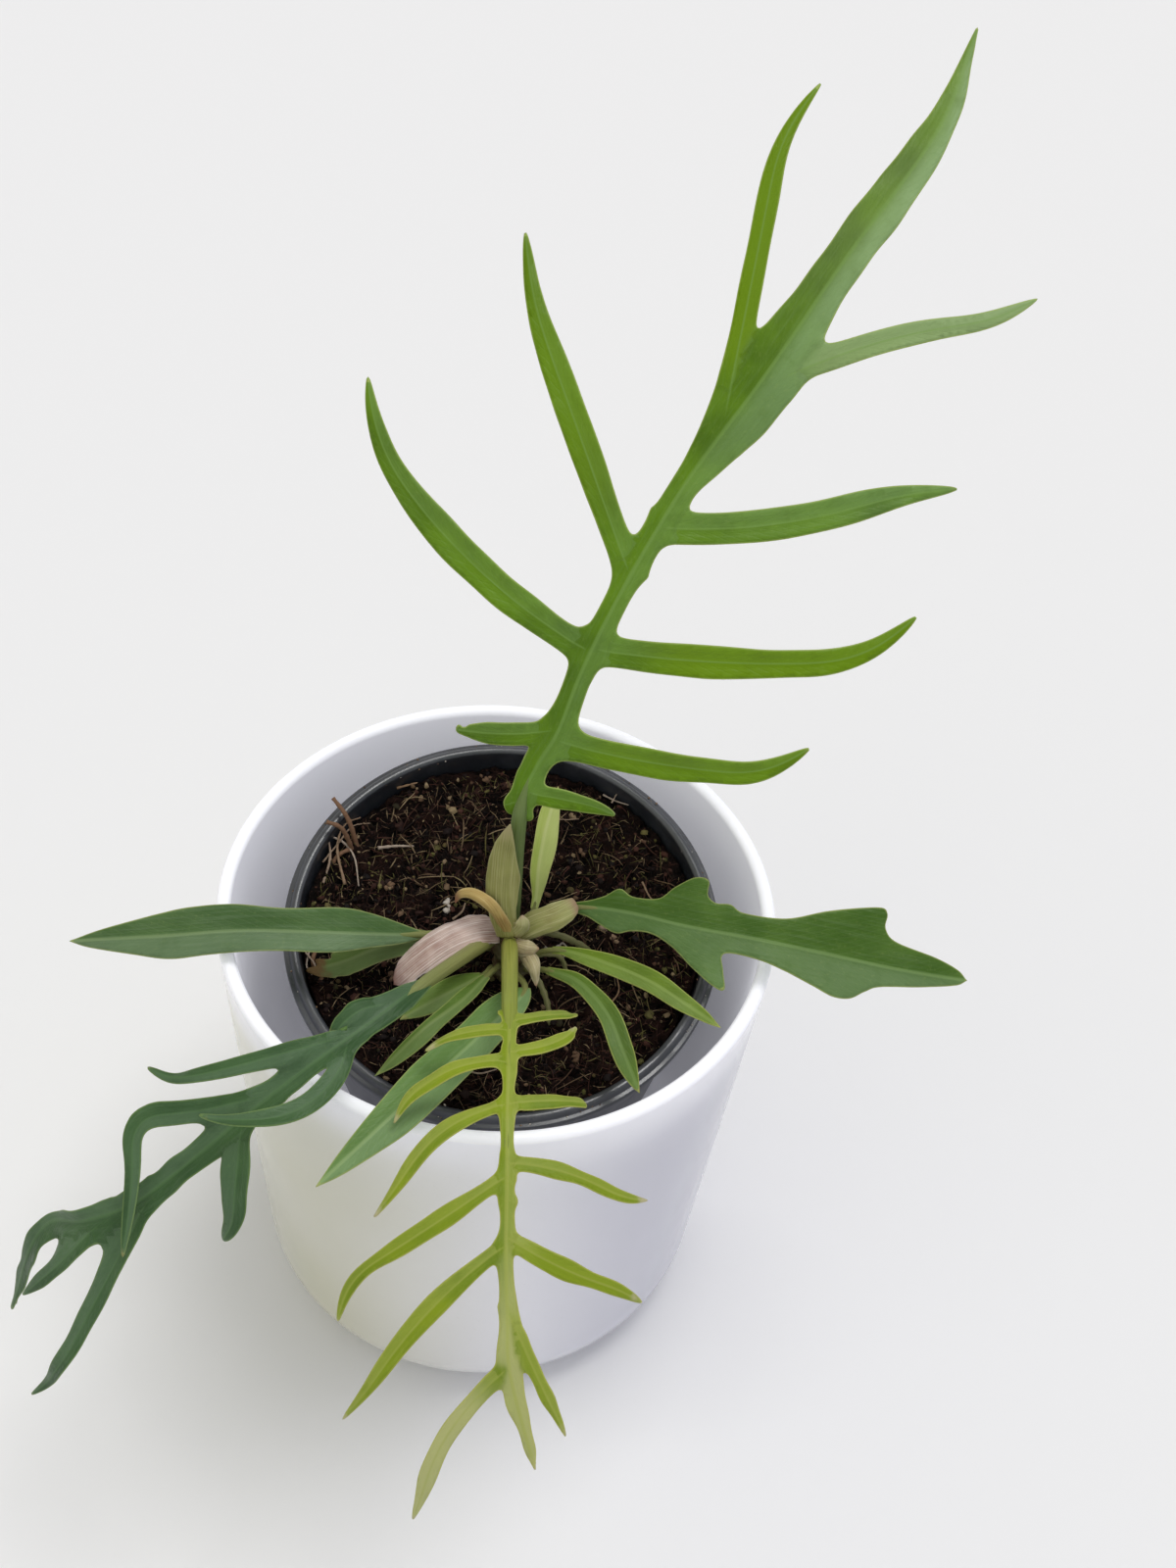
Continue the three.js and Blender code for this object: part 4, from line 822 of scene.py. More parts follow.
# Sheaths: rows of share along the path, width to the left and width to the right.
SHEATHS = {
    "sheath_upright": [
        dict(path=[[3.5, -13.2, 162], [1.6, -11, 173], [1.2, -6.2, 186], [2, -3.8, 198]],
             facing=[[0, -.9, .5], [0, -.8, .6]], bend=5.6, fold=.4,
             rows=[[0, 2.6, 3.4], [.15, 4, 3.6], [.34, 5, 4.6], [.5, 5.4, 5.6], [.62, 4.8, 3.9],
                   [.8, 3.2, 2.3], [.92, 1.6, 1.1], [1, .15, .15]])],
    "sheath_curled": [
        dict(path=[[3.2, -12.4, 162], [.5, -13.4, 171], [-2.6, -12.6, 175.5], [-6.8, -10.2, 175.5],
                   [-10.1, -9, 173], [-11.2, -9.2, 169.5]],
             facing=[[-.4, -.6, .7], [-.3, -.6, .75]], bend=2.2, fold=.4,
             rows=[[0, 4, 3], [.25, 3, 2.6], [.5, 2.1, 2], [.75, 1.6, 1.6], [.9, .9, 1], [1, .2, .2]])],
    "sheath_papery": [
        dict(path=[[.6, -10.2, 160.5], [-5, -14, 163.5], [-12.3, -19.8, 164.5], [-19.5, -25.1, 161],
                   [-25.2, -27.9, 155]],
             facing=[[-.2, -.4, .88], [-.3, -.4, .86]], bend=8, fold=.6, torn=.7,
             rows=[[0, 3.4, 6], [.25, 4.6, 8.6], [.45, 5.2, 9.4], [.7, 4.4, 8], [.88, 2.6, 5.2],
                   [.96, 1.4, 2.8], [1, .1, .2]])],
    "sheath_right": [
        dict(path=[[5.7, -9.2, 160], [10.5, -8.7, 164.5], [16.1, -7.6, 167.5], [21.4, -3.8, 168]],
             facing=[[0, -.4, .9], [0, -.4, .9]], bend=5.2, fold=.45,
             rows=[[0, 2.5, 3.5], [.3, 3.6, 4.6], [.6, 3.7, 4.8], [.85, 3.1, 3.8], [.97, 2.4, 2.4],
                   [1, 1.9, 1.4]])],
    "sheath_low": [
        dict(path=[[8.5, -14.5, 159.5], [11.9, -21.2, 160], [12.9, -24, 156]], skin=1,
             facing=[[.1, -.6, .8], [.1, -.7, .7]], bend=2.6, fold=.6,
             rows=[[0, 2, 2], [.3, 2.8, 2.7], [.6, 2.1, 2.1], [.85, 1, 1], [1, .15, .15]]),
        dict(path=[[5.8, -14, 160.5], [9.2, -16.1, 162.3], [12.6, -15.2, 161]], skin=1,
             facing=[[.2, -.5, .85], [.2, -.5, .85]], bend=2.8, fold=.5,
             rows=[[0, 2, 2.4], [.4, 2.7, 3.1], [.8, 1.9, 2.1], [1, .3, .3]]),
        dict(path=[[5.3, -12.3, 162], [7.6, -13.1, 167], [7.3, -11.4, 170]],
             facing=[[.2, -.8, .6], [.2, -.8, .6]], bend=2.6, fold=.5,
             rows=[[0, 2.2, 2.2], [.4, 3, 3], [.8, 2, 2], [1, .2, .2]])],
}

# Roots and straws on the mix, in the grow pot's frame: points, radius, lift and shade.
LAID = [
    ([[-38.2, 23.1], [-33.4, 25], [-28.4, 26.2]], .5, 1.6, .78),
    ([[-35.6, 43.4], [-29.8, 45.5]], .4, 1.4, .6),
    ([[-52, 10], [-51.1, 18.2], [-53.4, 27.8], [-49, 34]], .4, [1, 2, 3, 2], .72),
    ([[-46, 10.8], [-49.4, 20.1], [-48.6, 28.4], [-44.7, 32.8]], .45, [1, 2.2, 2.4, 1], .66),
    ([[-53, 24.5], [-48.4, 23.1], [-44.4, 19], [-42.1, 11.2]], .35, [1.6, 2.4, 2, .6], .8),
    ([[-53, 16.2], [-49.6, 21.7], [-46.4, 28.7], [-41.7, 31.6]], .3, [2, 3, 2.6, 1], .7),
    ([[-54, -10], [-53.4, -13.1], [-50.1, -16.4], [-50.7, -19.5]], .35, 1.4, .75),
    ([[-52, -9], [-52.4, -16.9], [-49.9, -18.2], [-47.2, -16]], .3, 2, .8),
    ([[-14.4, 4.1], [-12, 6], [-11.5, 9.5]], .35, 1.4, .7),
    ([[24.3, 49.1], [28.3, 47.2], [31.9, 45]], .3, 1.6, .8),
    ([[27, 46], [29, 49.5], [33, 48.5]], .25, 1.8, .75),
    ([[12.3, -3.8], [15.4, -4.9], [17, -2.8], [19.2, -3.6]], .4, [4, 4.5, 5, 4], .9),
    ([[14, -5.5], [16.4, -3.2], [18, -5.2]], .3, [4, 5, 4], .95),
    ([[-20, -30], [-14, -33], [-9, -31]], .3, 1.4, .7),
    ([[30, -20], [34, -14], [33, -8]], .3, 1.3, .62),
    ([[38, 22], [41, 16], [46, 14]], .3, 1.5, .66),
    ([[8, 44], [12, 40], [18, 41]], .28, 1.4, .7),
    ([[-8, -40], [-2, -43], [3, -41]], .35, 1.5, .74),
]

# Clods on the mix: place, size and shade.
LUMPS = [
    (-33.4, 12.6, 1.3, .34), (-16.5, 7.9, 1.2, 1), (28.3, 5.7, 1, .7), (31, 2.6, 1, .66),
    (36.4, 6.3, .7, .68),
    (-10, 51, 1, .3), (-4, 50, .9, .42), (20, 30, .9, .3), (-30, -16, 1, .28), (24, -34, 1.1, .3),
]

# Roots that leave the crown, and roots at the grow pot's wall: points, then the radius at both ends.
ROOTS = [
    ([[7, -6, 152], [13, -4, 154], [19, -4, 153], [26, -3, 147], [29, -2, 139]], [1.1, .8]),
    ([[8, -11, 150], [13, -18, 151], [16.5, -22.5, 146], [18, -26, 137]], [1, .7]),
    ([[7, -10, 149], [14, -10, 152], [19, -9, 149.5], [22, -11, 139]], [.8, .6]),
]
EDGE_ROOTS = [
    ([[-42, 21, 146], [-43.5, 22.5, 154.5], [-46, 25, 160.5], [-50.5, 28.5, 164]], [.9, .6]),
    ([[-43, 20, 146], [-44.5, 20.2, 154.5], [-47, 20.6, 160.6], [-51, 20.5, 162.7]], [.8, .6]),
    ([[-48, 14, 145], [-48.5, 16, 151], [-45, 19, 153], [-41, 24, 147]], [.7, .5]),
    ([[-46, -17, 139], [-49.5, -16, 145], [-48, -10, 146], [-44, -6, 140]], [.7, .5]),
    ([[-43, -23, 137], [-46.5, -22, 144.5], [-43, -17, 145], [-38, -14, 139]], [.7, .5]),
]


# Pots, potting mix and crown

# The grow pot's own frame has its origin in the middle of the rim and its Z along the pot's axis.
RIM = np.array([1.6, -2.2, 154])
LEAN = math.radians(10)

# Inner radii of the grow pot, at the mouth and at the floor.
MOUTH, FLOOR = 56.3, 37.8

# Its outer radius under the flange, and the heights of the flange's underside and of the base.
WALL, FLANGE, BASE = 57.5, -4, -144.3

# Radius of the part of the mix that carries fibres and crumbs.
FIELD = 54

# Height of the glazed pot.
GLAZED_HEIGHT = 160


def to_world(points):
    """Points of the grow pot's own frame, turned and moved into the shared frame."""
    p = np.asarray(points, float)
    c, s = math.cos(LEAN), math.sin(LEAN)
    return np.stack([p[..., 0], p[..., 1] * c - p[..., 2] * s, p[..., 1] * s + p[..., 2] * c], -1) + RIM


def arc(radius, height, size, start, end, steps):
    t = np.radians(np.linspace(start, end, steps + 1))
    return [(radius + size * math.cos(a), height + size * math.sin(a)) for a in t]


def turned(profile, segments):
    """Closed body turned round +Z from points that start and end on the axis."""
    p = np.array(profile[1:-1])
    t = np.linspace(0, 2 * math.pi, segments, endpoint=False)
    v = np.stack([p[:, :1] * np.cos(t), p[:, :1] * np.sin(t), np.repeat(p[:, 1:], segments, 1)], -1)
    v = v.reshape(-1, 3)
    v = np.vstack([v, [[0, 0, profile[0][1]], [0, 0, profile[-1][1]]]])
    return v, ring_faces(len(p), segments)


def straight(a, b, steps):
    return [(a[0] + (b[0] - a[0]) * i / steps, a[1] + (b[1] - a[1]) * i / steps) for i in range(1, steps)]


def glazed_pot():
    lower, upper = arc(46.5, 22, 22, -90, 0, 24), arc(75.5, GLAZED_HEIGHT - 2, 2, 0, 180, 20)
    inner = arc(39.5, 30, 25, 0, -90, 24)
    outer_wall, inner_wall = straight(lower[-1], upper[0], 30), straight(upper[-1], inner[0], 30)
    profile = [(0, 0), *lower, *outer_wall, *upper, *inner_wall, *inner, (0, 5)]
    segments = 192
    v, f = turned(profile, segments)
    angle = np.arctan2(v[:, 1], v[:, 0])
    wide = np.hypot(v[:, 0], v[:, 1])
    swell = .12 * np.sin(angle * 2 + .6) + .07 * np.sin(angle * 3 + v[:, 2] * .04)
    v[:, :2] *= (1 + (swell - .19) * smoothstep(wide, 10, 60) / np.maximum(wide, 1))[:, None]
    share = np.repeat(np.linspace(0, 1, len(profile) - 2), segments)
    inside = np.concatenate([smoothstep(share, .36, .5), [0, 0]])
    depth = GLAZED_HEIGHT - v[:, 2]
    below_lip = smoothstep(depth, 2, 22) * (1 - inside)
    # Painted reflection: a darker cream tint on the outside at the left, below the lip.
    warm = smoothstep(-v[:, 0] - .25 * v[:, 1], -8, 62) * below_lip
    # Painted shade: a darker bluish grey on the outside at the right, below the lip.
    cool = smoothstep(v[:, 0] - .2 * v[:, 1], 22, 70) * below_lip
    return Parts().add(v, f, {"inside": inside, "depth": depth, "warm": warm, "cool": cool})


def grow_pot():
    bead = arc(57.9, -1.5, 1.5, 30, 150, 14)
    profile = [(0, BASE), (36, BASE), (37.5, BASE), (38.6, -143.9), (39, -142.8)]
    profile += straight(profile[-1], (WALL, FLANGE), 24)
    profile += [(57.4, -4.4), (57.6, FLANGE), (58.2, FLANGE), (60.3, FLANGE), (60.7, -3.8), (60.8, -3.4)]
    profile += [(60.8, -2), (60.7, -1.72), (60.4, -1.6), (59.6, -1.62), (59.32, -1.5), *bead]
    profile += [(56.5, -1.8), (56.35, -3), (MOUTH, FLANGE)]
    profile += straight((MOUTH, FLANGE), (FLOOR, -142.5), 12)
    profile += [(FLOOR, -143.1), (0, -143.1)]
    v, f = turned(profile, 180)
    angle = np.arctan2(v[:, 1], v[:, 0])
    dent = .1 * np.sin(angle * 5 + 1) + .08 * np.sin(angle * 9 + 2.2)
    near_rim = smoothstep(v[:, 2], -8, -2)
    v[:, 2] += dent * near_rim - .1 * near_rim
    return Parts().add(to_world(v), f)


def mix_height(x, y):
    """Height of the mix in the grow pot's own frame: a hollow with lumps and a bank along the wall."""
    reach = np.hypot(x, y) / WALL
    lumps = (np.sin(x * .21 + 1.3) * np.cos(y * .17 - .6) + .7 * np.sin(x * .43 - y * .31 + 2.1)
             + .5 * np.cos(x * .77 + y * .69))
    bank = 2.4 * smoothstep(reach, .76, 1) * (.7 + .3 * np.sin(2.3 * np.arctan2(y, x) + 1))
    return -8.5 + reach ** 2 + .78 * lumps + bank


def roughness(x, y):
    """Fine ups and downs of the mix."""
    return .7 * ripple(x, y, 41, 4.6) + .6 * ripple(x, y, 42, 2.2) + .4 * ripple(x, y, 43, 1.3)


def fine_height(x, y):
    return mix_height(x, y) + roughness(x, y) - .5


def mix_bed():
    # Radius of the mix at its surface, just inside the pot's wall.
    top = FLOOR + .1 + (MOUTH - FLOOR - .3) * (143 - 10.1) / 139
    rings, spokes = 80, 300
    r = top * np.sqrt(np.linspace(0, 1, rings + 1)[1:])
    t = np.linspace(0, 2 * math.pi, spokes, endpoint=False)
    x, y = np.outer(r, np.cos(t)), np.outer(r, np.sin(t))
    z = fine_height(x, y)
    v = [np.stack([x, y, z], -1).reshape(-1, 3)]
    for share in (.25, .6, 1):
        radius, height = top + (37.5 - top) * share, -9.5 - 133.3 * share
        v.append(np.stack([radius * np.cos(t), radius * np.sin(t), np.full(spokes, height)], -1))
    v = np.vstack(v + [[[0, 0, fine_height(np.zeros(1), np.zeros(1))[0]], [0, 0, -142.8]]])
    faces = ring_faces(rings + 3, spokes, reverse=True)
    # Painted shade: a share for darkening where the fine ups and downs of the mix dip.
    pit = smoothstep(-roughness(v[:, 0], v[:, 1]), -.1, 1.1)
    return Parts().add(to_world(v), faces, {"pit": pit})


def fibres(count, seed, lengths, thick, lift, dark):
    """Straws and root hairs that lie on the mix; the higher dark is, the darker most of them are."""
    draw = random.Random(seed)
    made = Parts()
    while count:
        radius, turn = FIELD * math.sqrt(draw.random()), draw.uniform(0, 2 * math.pi)
        x, y = radius * math.cos(turn), radius * math.sin(turn)
        length = draw.uniform(*lengths)
        heading, bend = draw.uniform(0, 2 * math.pi), draw.gauss(0, .5)
        n = 5
        spot, points = np.array([x, y]), []
        for _ in range(n):
            points.append(spot.copy())
            heading += bend / n
            spot = spot + np.array([math.cos(heading), math.sin(heading)]) * length / (n - 1)
        points = np.array(points)
        if np.hypot(*points.T).max() > FIELD + .6:
            continue
        count -= 1
        rise = draw.uniform(*lift)
        tip = draw.uniform(-.6, 1.2) * rise
        z = fine_height(points[:, 0], points[:, 1])
        z = .35 * z + .65 * z.mean() + np.array([0, .5, .9, .8, .3]) * rise + tip * np.linspace(0, 1, n) ** 2
        width = draw.uniform(*thick)
        p = to_world(np.column_stack([points, z]))
        v, f, a = tube(p, width * np.array([.7, 1, 1, .9, .45]), 4)
        shade = draw.random() ** dark
        made.add(v, f, {"shade": shade, "u": a["u"], "seed": draw.random()})
    return made


# Corners and faces of a body with twenty sides.
GOLD = (1 + 5 ** .5) / 2
CORNERS = [(-1, GOLD, 0), (1, GOLD, 0), (-1, -GOLD, 0), (1, -GOLD, 0), (0, -1, GOLD), (0, 1, GOLD),
           (0, -1, -GOLD), (0, 1, -GOLD), (GOLD, 0, -1), (GOLD, 0, 1), (-GOLD, 0, -1), (-GOLD, 0, 1)]
TWENTY = [(0, 11, 5), (0, 5, 1), (0, 1, 7), (0, 7, 10), (0, 10, 11), (1, 5, 9), (5, 11, 4), (11, 10, 2),
          (10, 7, 6), (7, 1, 8), (3, 9, 4), (3, 4, 2), (3, 2, 6), (3, 6, 8), (3, 8, 9), (4, 9, 5),
          (2, 4, 11), (6, 2, 10), (8, 6, 7), (9, 8, 1)]


def lump(draw, size, rough=.25):
    """Uneven crumb with twenty faces."""
    v = unit(np.array(CORNERS, float))
    scale = np.array([draw.uniform(.6, 1.3), draw.uniform(.6, 1.2), draw.uniform(.5, .9)]) * size
    v = v * (1 + rough * np.array([[draw.uniform(-1, 1)] for _ in v])) * scale
    a = draw.uniform(0, 6.28)
    turn = np.array([[math.cos(a), -math.sin(a), 0], [math.sin(a), math.cos(a), 0], [0, 0, 1]])
    return v @ turn.T, TWENTY


def crumbs(count, seed):
    draw = random.Random(seed)
    made = Parts()
    for _ in range(count):
        radius, turn = (FIELD + .5) * math.sqrt(draw.random()), draw.uniform(0, 2 * math.pi)
        x, y = radius * math.cos(turn), radius * math.sin(turn)
        size = .35 + .9 * draw.random() ** 3
        v, f = lump(draw, size)
        v = v + np.array([x, y, fine_height(np.array(x), np.array(y)) + .3 * size])
        made.add(to_world(v), f, {"shade": draw.random() ** 2, "seed": draw.random()})
    return made


def crown():
    """Short knobbly stem and the roots that leave it."""
    spine = Spine([[6, -7, 132], [4.5, -8.5, 160]], [[0, -1, 0], [0, -1, 0]])
    rings, sides = 60, 44
    share = np.linspace(0, 1, rings + 1)
    point, _, across, up = spine.frames(share * spine.length)
    taper = np.sqrt(1 - .75 * share ** 6) * (.7 + .3 * np.minimum(1, share * 4))
    radius = (5.4 + .7 * np.sin(share * 20) + .14 * np.sin(share * 90)) * taper
    t = np.linspace(0, 2 * math.pi, sides, endpoint=False)
    twist = share[:, None]
    lobed = radius[:, None] * (1 + .05 * np.sin(3 * t + twist * 5) + .02 * np.sin(9 * t + twist * 9))
    sideways, upward = (lobed * np.cos(t))[..., None], (lobed * np.sin(t))[..., None]
    v = point[:, None] + across[:, None] * sideways + up[:, None] * upward
    v = np.vstack([v.reshape(-1, 3), point[:1], point[-1:]])
    made = Parts()
    along_value = np.concatenate([np.repeat(share * 28, sides), [0, 28]])
    around = np.concatenate([np.tile(t, rings + 1), [0, 0]])
    made.add(v, ring_faces(rings + 1, sides), {"u": along_value, "v": around})
    for points, radii in ROOTS:
        made.add(*knotty(points, radii, 30, 10, ((.12, 2.1, 0), (.08, 4.7, 0))), 1)
    return made


def sheath(made, spec):
    """Dry sheath: a sheet bent round its path, with folds and a torn left edge."""
    spine = Spine(spec["path"], spec["facing"])
    n, m = 70, 40
    share = np.linspace(0, 1, n)
    point, _, across, up = spine.frames(share * spine.length)
    rows = np.array(spec["rows"], float)
    left, right = (np.interp(share, rows[:, 0], rows[:, k]) for k in (1, 2))
    for side in (left, right) * 3:
        side[1:-1] = side[1:-1] / 2 + (side[2:] + side[:-2]) / 4
    s = share * spine.length
    torn = 2 * np.maximum(ripple(s, s * 0, 17, 11) - .1, 0) + .1 * np.sin(s * 2.9 + 1)
    left = left - spec.get("torn", 0) * torn * smoothstep(s, 1, 5)
    place = np.linspace(0, 1, m)[None]
    t = -left[:, None] * (1 - place) + right[:, None] * place
    bend = spec["bend"]
    rim = np.minimum(t + left[:, None], right[:, None] - t)
    run = s[:, None]
    lift = (.22 * ripple(run * .5, t * 1.6, 61, 3.5) + .1 * np.sin(t * 4.2 + .2 * run)) * spec["fold"]
    lift = lift + .35 * spec["fold"] * np.exp(-rim / .7) * ripple(run, 0 * t, 63, 7)
    v = (point[:, None] + across[:, None] * ((bend + lift) * np.sin(t / bend))[..., None]
         + up[:, None] * ((bend + lift) * np.cos(t / bend) - bend)[..., None])
    corners = [i * m + k for i in range(n - 1) for k in range(m - 1)]
    triangles = np.array([f for i in corners for f in ((i, i + 1, i + m), (i + 1, i + m + 1, i + m))])
    v = v.reshape(-1, 3)
    thick = .1 + .16 * smoothstep(rim, 0, 1.2).reshape(-1)
    vertices, faces = thicken(v, triangles, thick, np.repeat(up, m, 0))
    values = both_skins(u=np.repeat(s, m), along=np.repeat(share, m), v=t.reshape(-1), rim=rim.reshape(-1))
    made.add(vertices, faces, values, spec.get("skin", 0))


def laid(made, points, radius, lift, shade):
    """Root or straw laid over points of the mix, in the grow pot's own frame."""
    flat = np.array(points, float)
    height = fine_height(flat[:, 0], flat[:, 1]) + np.broadcast_to(lift, len(flat))
    path = to_world(np.column_stack([flat, height]))
    v, f, a = knotty(path, (radius, radius * .55), 22, 7, ((.16, 2.7, 0), (.1, 5.9, 1)))
    made.add(v, f, {"u": a["u"], "shade": shade, "seed": shade + radius})


def mix_details():
    """Roots, straws and clods that the photo shows one by one, and dust on the pot's rim."""
    made = Parts()
    for points, radius, lift, shade in LAID:
        laid(made, points, radius, lift, shade)
    draw = random.Random(71)
    for x, y, size, shade in LUMPS:
        for _ in range(5):
            v, f = lump(draw, size * draw.uniform(.5, 1), .3)
            spot = np.array([x + draw.gauss(0, size * .7), y + draw.gauss(0, size * .7), 0])
            spot[2] = fine_height(spot[0], spot[1]) + .6 * size
            made.add(to_world(v + spot), f, {"shade": shade, "seed": .3})
    for _ in range(150):
        turn = draw.uniform(0, 2 * math.pi)
        v, f = lump(draw, draw.uniform(.12, .34), .3)
        reach = draw.choice((59.9, 59.2, 56.6)) + draw.gauss(0, .25)
        level = -1.45 if reach > 58.8 else -1.2
        v = v + np.array([reach * math.cos(turn), reach * math.sin(turn), level])
        made.add(to_world(v), f, {"shade": draw.choice((.2, .5, .95)), "seed": .2})
    return made


# Materials

def glaze(name):
    k = new_material(name)
    place = k.place()
    speck = k.ramp(k.noise(place, 900, 2), .66, .74)
    cloud = k.noise(place, 14, 3)
    k.colour = k.mix(cloud, (.83, .83, .895), (.86, .86, .92))
    k.paint(k.times(speck, .08), (.5, .47, .42))
    # Painted reflection: darker cream on the left of the outside, in soft clouds.
    warm = k.times(k.value("warm"), k.ramp(k.noise(place, 9, 2), .3, .7, .7, 1))
    k.paint(warm, (.62, .61, .45))
    # Painted shade: darker bluish grey on the right of the outside.
    k.paint(k.value("cool"), (.58, .58, .67))
    # Painted highlight: the top of the lip is lighter.
    k.paint(k.ramp(k.value("depth"), 3, .7), (.92, .925, .98))
    k.bump(k.noise(place, 22, 2), .05, .002)
    rough = k.ramp(k.noise(place, 60, 3), .3, .8, .12, .2)
    # Painted light: the inner wall and the inner part of the rim glow, most near the top, though no lamp is
    # there.
    painted_inner_glow = k.times(k.value("inside"), k.ramp(k.value("depth"), 0, 70, .26, .12))
    k.shader.inputs["Emission Strength"].default_value = 1
    glow = k.mix(painted_inner_glow, (0, 0, 0), (.93, .93, 1))
    return k.done(rough=rough, specular=.3, coat=.12, coat_rough=.12, glow=glow)


def plastic(name):
    k = new_material(name)
    place = k.place()
    dust = k.ramp(k.noise(place, 260, 5, .7), .55, .75)
    scuff = k.ramp(k.noise(place, 60, 4, .6), .45, .7)
    k.colour = k.mix(scuff, (.02, .023, .03), (.036, .04, .052))
    k.paint(k.times(dust, .25), (.14, .13, .13))
    k.bump(k.noise(place, 500, 3), .2, .0003)
    return k.done(rough=k.ramp(scuff, 0, 1, .34, .46), specular=1, coat=.2, coat_rough=.25)


def earth(name):
    k = new_material(name)
    place = k.place()
    fine, wide = k.noise(place, 1100, 6, .7), k.noise(place, 130, 4, .6)
    k.colour = k.mix(k.ramp(wide, .4, .65), (.005, .0034, .003), (.02, .009, .007))
    k.paint(k.ramp(fine, .52, .74), (.06, .028, .02))
    k.paint(k.ramp(k.noise(place, 520, 2), .72, .78), (.2, .13, .09))
    # Painted shade: near-black in the hollows of the mix.
    k.paint(k.ramp(k.value("pit"), .1, 1), (.0015, .001, .001))
    k.bump(fine, .9, .0012)
    return k.done(rough=.95, specular=.1)


def straw(name, dark, mid, light, moss=0.0):
    """Coir, root or clod skin by each one's own shade; moss is how green some of them may get."""
    k = new_material(name)
    shade, seed = k.value("shade"), k.value("seed")
    streak = k.noise(k.vector(k.times(k.value("u"), .6), k.times(seed, 90)), 2, 3)
    k.colour = k.mix(k.ramp(shade, 0, .6), dark, mid)
    k.paint(k.ramp(shade, .6, 1), light)
    k.paint(k.times(streak, .45), dark)
    mossy = k.times(k.ramp(seed, .78, .82), k.ramp(k.noise(k.place(), 45, 2), .45, .6, .15, .8))
    k.paint(k.times(mossy, moss), (.16, .15, .045))
    k.bump(k.noise(k.place(), 1500, 3), .5, .0003)
    return k.done(rough=.8, specular=.25)


def blade(name, green, deep, bloom_and_sheen, vein, edge, under, tip, tip_share, gloss, side=1, greyer=0.0, split=.4,
          vivid=None, pale=None):
    """Leaf skin: deep to plain green in clouds, painted sheen on one side, with veins, edge, underside and
    tip.
    """
    k = new_material(name)
    u, v, rim, along = k.value("u"), k.value("v"), k.value("rim"), k.value("along")
    place = k.place()
    cloud, patch = k.noise(place, 45, 3), k.noise(place, 130, 3, .6)
    fine = k.noise(place, 900, 3, .6)
    streak = k.noise(k.vector(k.times(u, .06), k.times(v, 1.2)), 1, 4, .6)
    wide = k.math("ABSOLUTE", v)
    slant = k.math("SUBTRACT", u, k.times(wide, 2.4))
    lateral = k.math("SINE", k.plus(k.times(slant, 1.7), k.times(patch, 7)))
    lateral = k.times(k.ramp(lateral, .4, 1), k.ramp(wide, .3, 1.4))
    k.colour = k.mix(k.ramp(cloud, .32, .66), deep, green)
    # Painted sheen: one half of the fold, and more of that side towards the end, turn bluish grey.
    shade = k.times(k.ramp(k.times(v, side), -.3, .35), split)
    painted_flank_sheen = k.times(k.ramp(k.times(k.value("wide"), side), -1, 3), k.ramp(along, .42, .85))
    shade = k.math("ADD", shade, k.times(painted_flank_sheen, greyer), True)
    k.paint(shade, bloom_and_sheen)
    k.paint(k.times(k.ramp(streak, .42, .72), split * .6), bloom_and_sheen)
    k.paint(k.times(k.ramp(patch, .5, .75), .3), deep)
    k.paint(k.times(lateral, .04), vein)
    k.paint(k.times(k.ramp(fine, .55, .75), .08), edge)
    if vivid:
        k.paint(k.ramp(k.value("tint"), 0, 1, 0, .85), vivid)
        k.paint(k.ramp(k.value("tint"), 0, -1, 0, .85), pale)
    k.paint(k.ramp(k.value("under"), .2, .8, 0, .75), under)
    line = k.ramp(k.value("vein"), .75, .2)
    k.paint(k.times(line, .5), vein)
    border = k.ramp(rim, .4, .05)
    k.paint(k.times(border, .6), edge)
    worn = k.plus(k.value("tip"), k.times(k.math("SUBTRACT", k.noise(place, 320, 3), .5), .5))
    k.paint(k.ramp(worn, 1 - tip_share, 1.2 - tip_share, 0, .85), tip)
    relief = k.plus(k.times(lateral, -.15), k.times(streak, .8))
    relief = k.plus(relief, k.times(fine, .25))
    relief = k.plus(relief, k.times(patch, .8))
    k.bump(relief, .4, .0007)
    return k.done(rough=k.ramp(patch, .3, .7, gloss - .05, gloss + .08), specular=.16)


def stalk(name, low, high, ridge):
    """Petiole, rib or stem skin, from low at its foot to high, with lines along it."""
    k = new_material(name)
    u, v, along = k.value("u"), k.value("v"), k.value("along")
    lines = k.noise(k.vector(k.times(u, .03), k.times(v, 5)), 1, 4, .6)
    k.colour = k.mix(k.ramp(along, .05, .4), low, high)
    k.paint(k.ramp(lines, .45, .7), ridge)
    speck = k.ramp(k.noise(k.place(), 900, 3), .6, .72)
    k.paint(k.times(speck, .2), low)
    k.bump(lines, .5, .0006)
    return k.done(rough=.45, specular=.4)


def husk(name, base, dark, light, end):
    """Dry sheath skin with lines along it, a light rim and an end of its own colour."""
    k = new_material(name)
    v, along, rim = k.value("v"), k.value("along"), k.value("rim")
    lines = k.noise(k.vector(k.times(along, 1.2), k.times(v, 2.6)), 1, 4, .65)
    cloud = k.noise(k.place(), 120, 4)
    k.colour = k.mix(k.ramp(cloud, .35, .7), base, dark)
    k.paint(k.ramp(lines, .44, .66), light)
    k.paint(k.ramp(lines, .4, .3, 0, .6), dark)
    k.paint(k.times(k.ramp(rim, .8, .1), .6), light)
    k.paint(k.ramp(k.plus(along, k.times(cloud, .3)), .95, 1.15), end)
    k.bump(lines, .6, .0006)
    return k.done(rough=.5, specular=.4)


# The plant

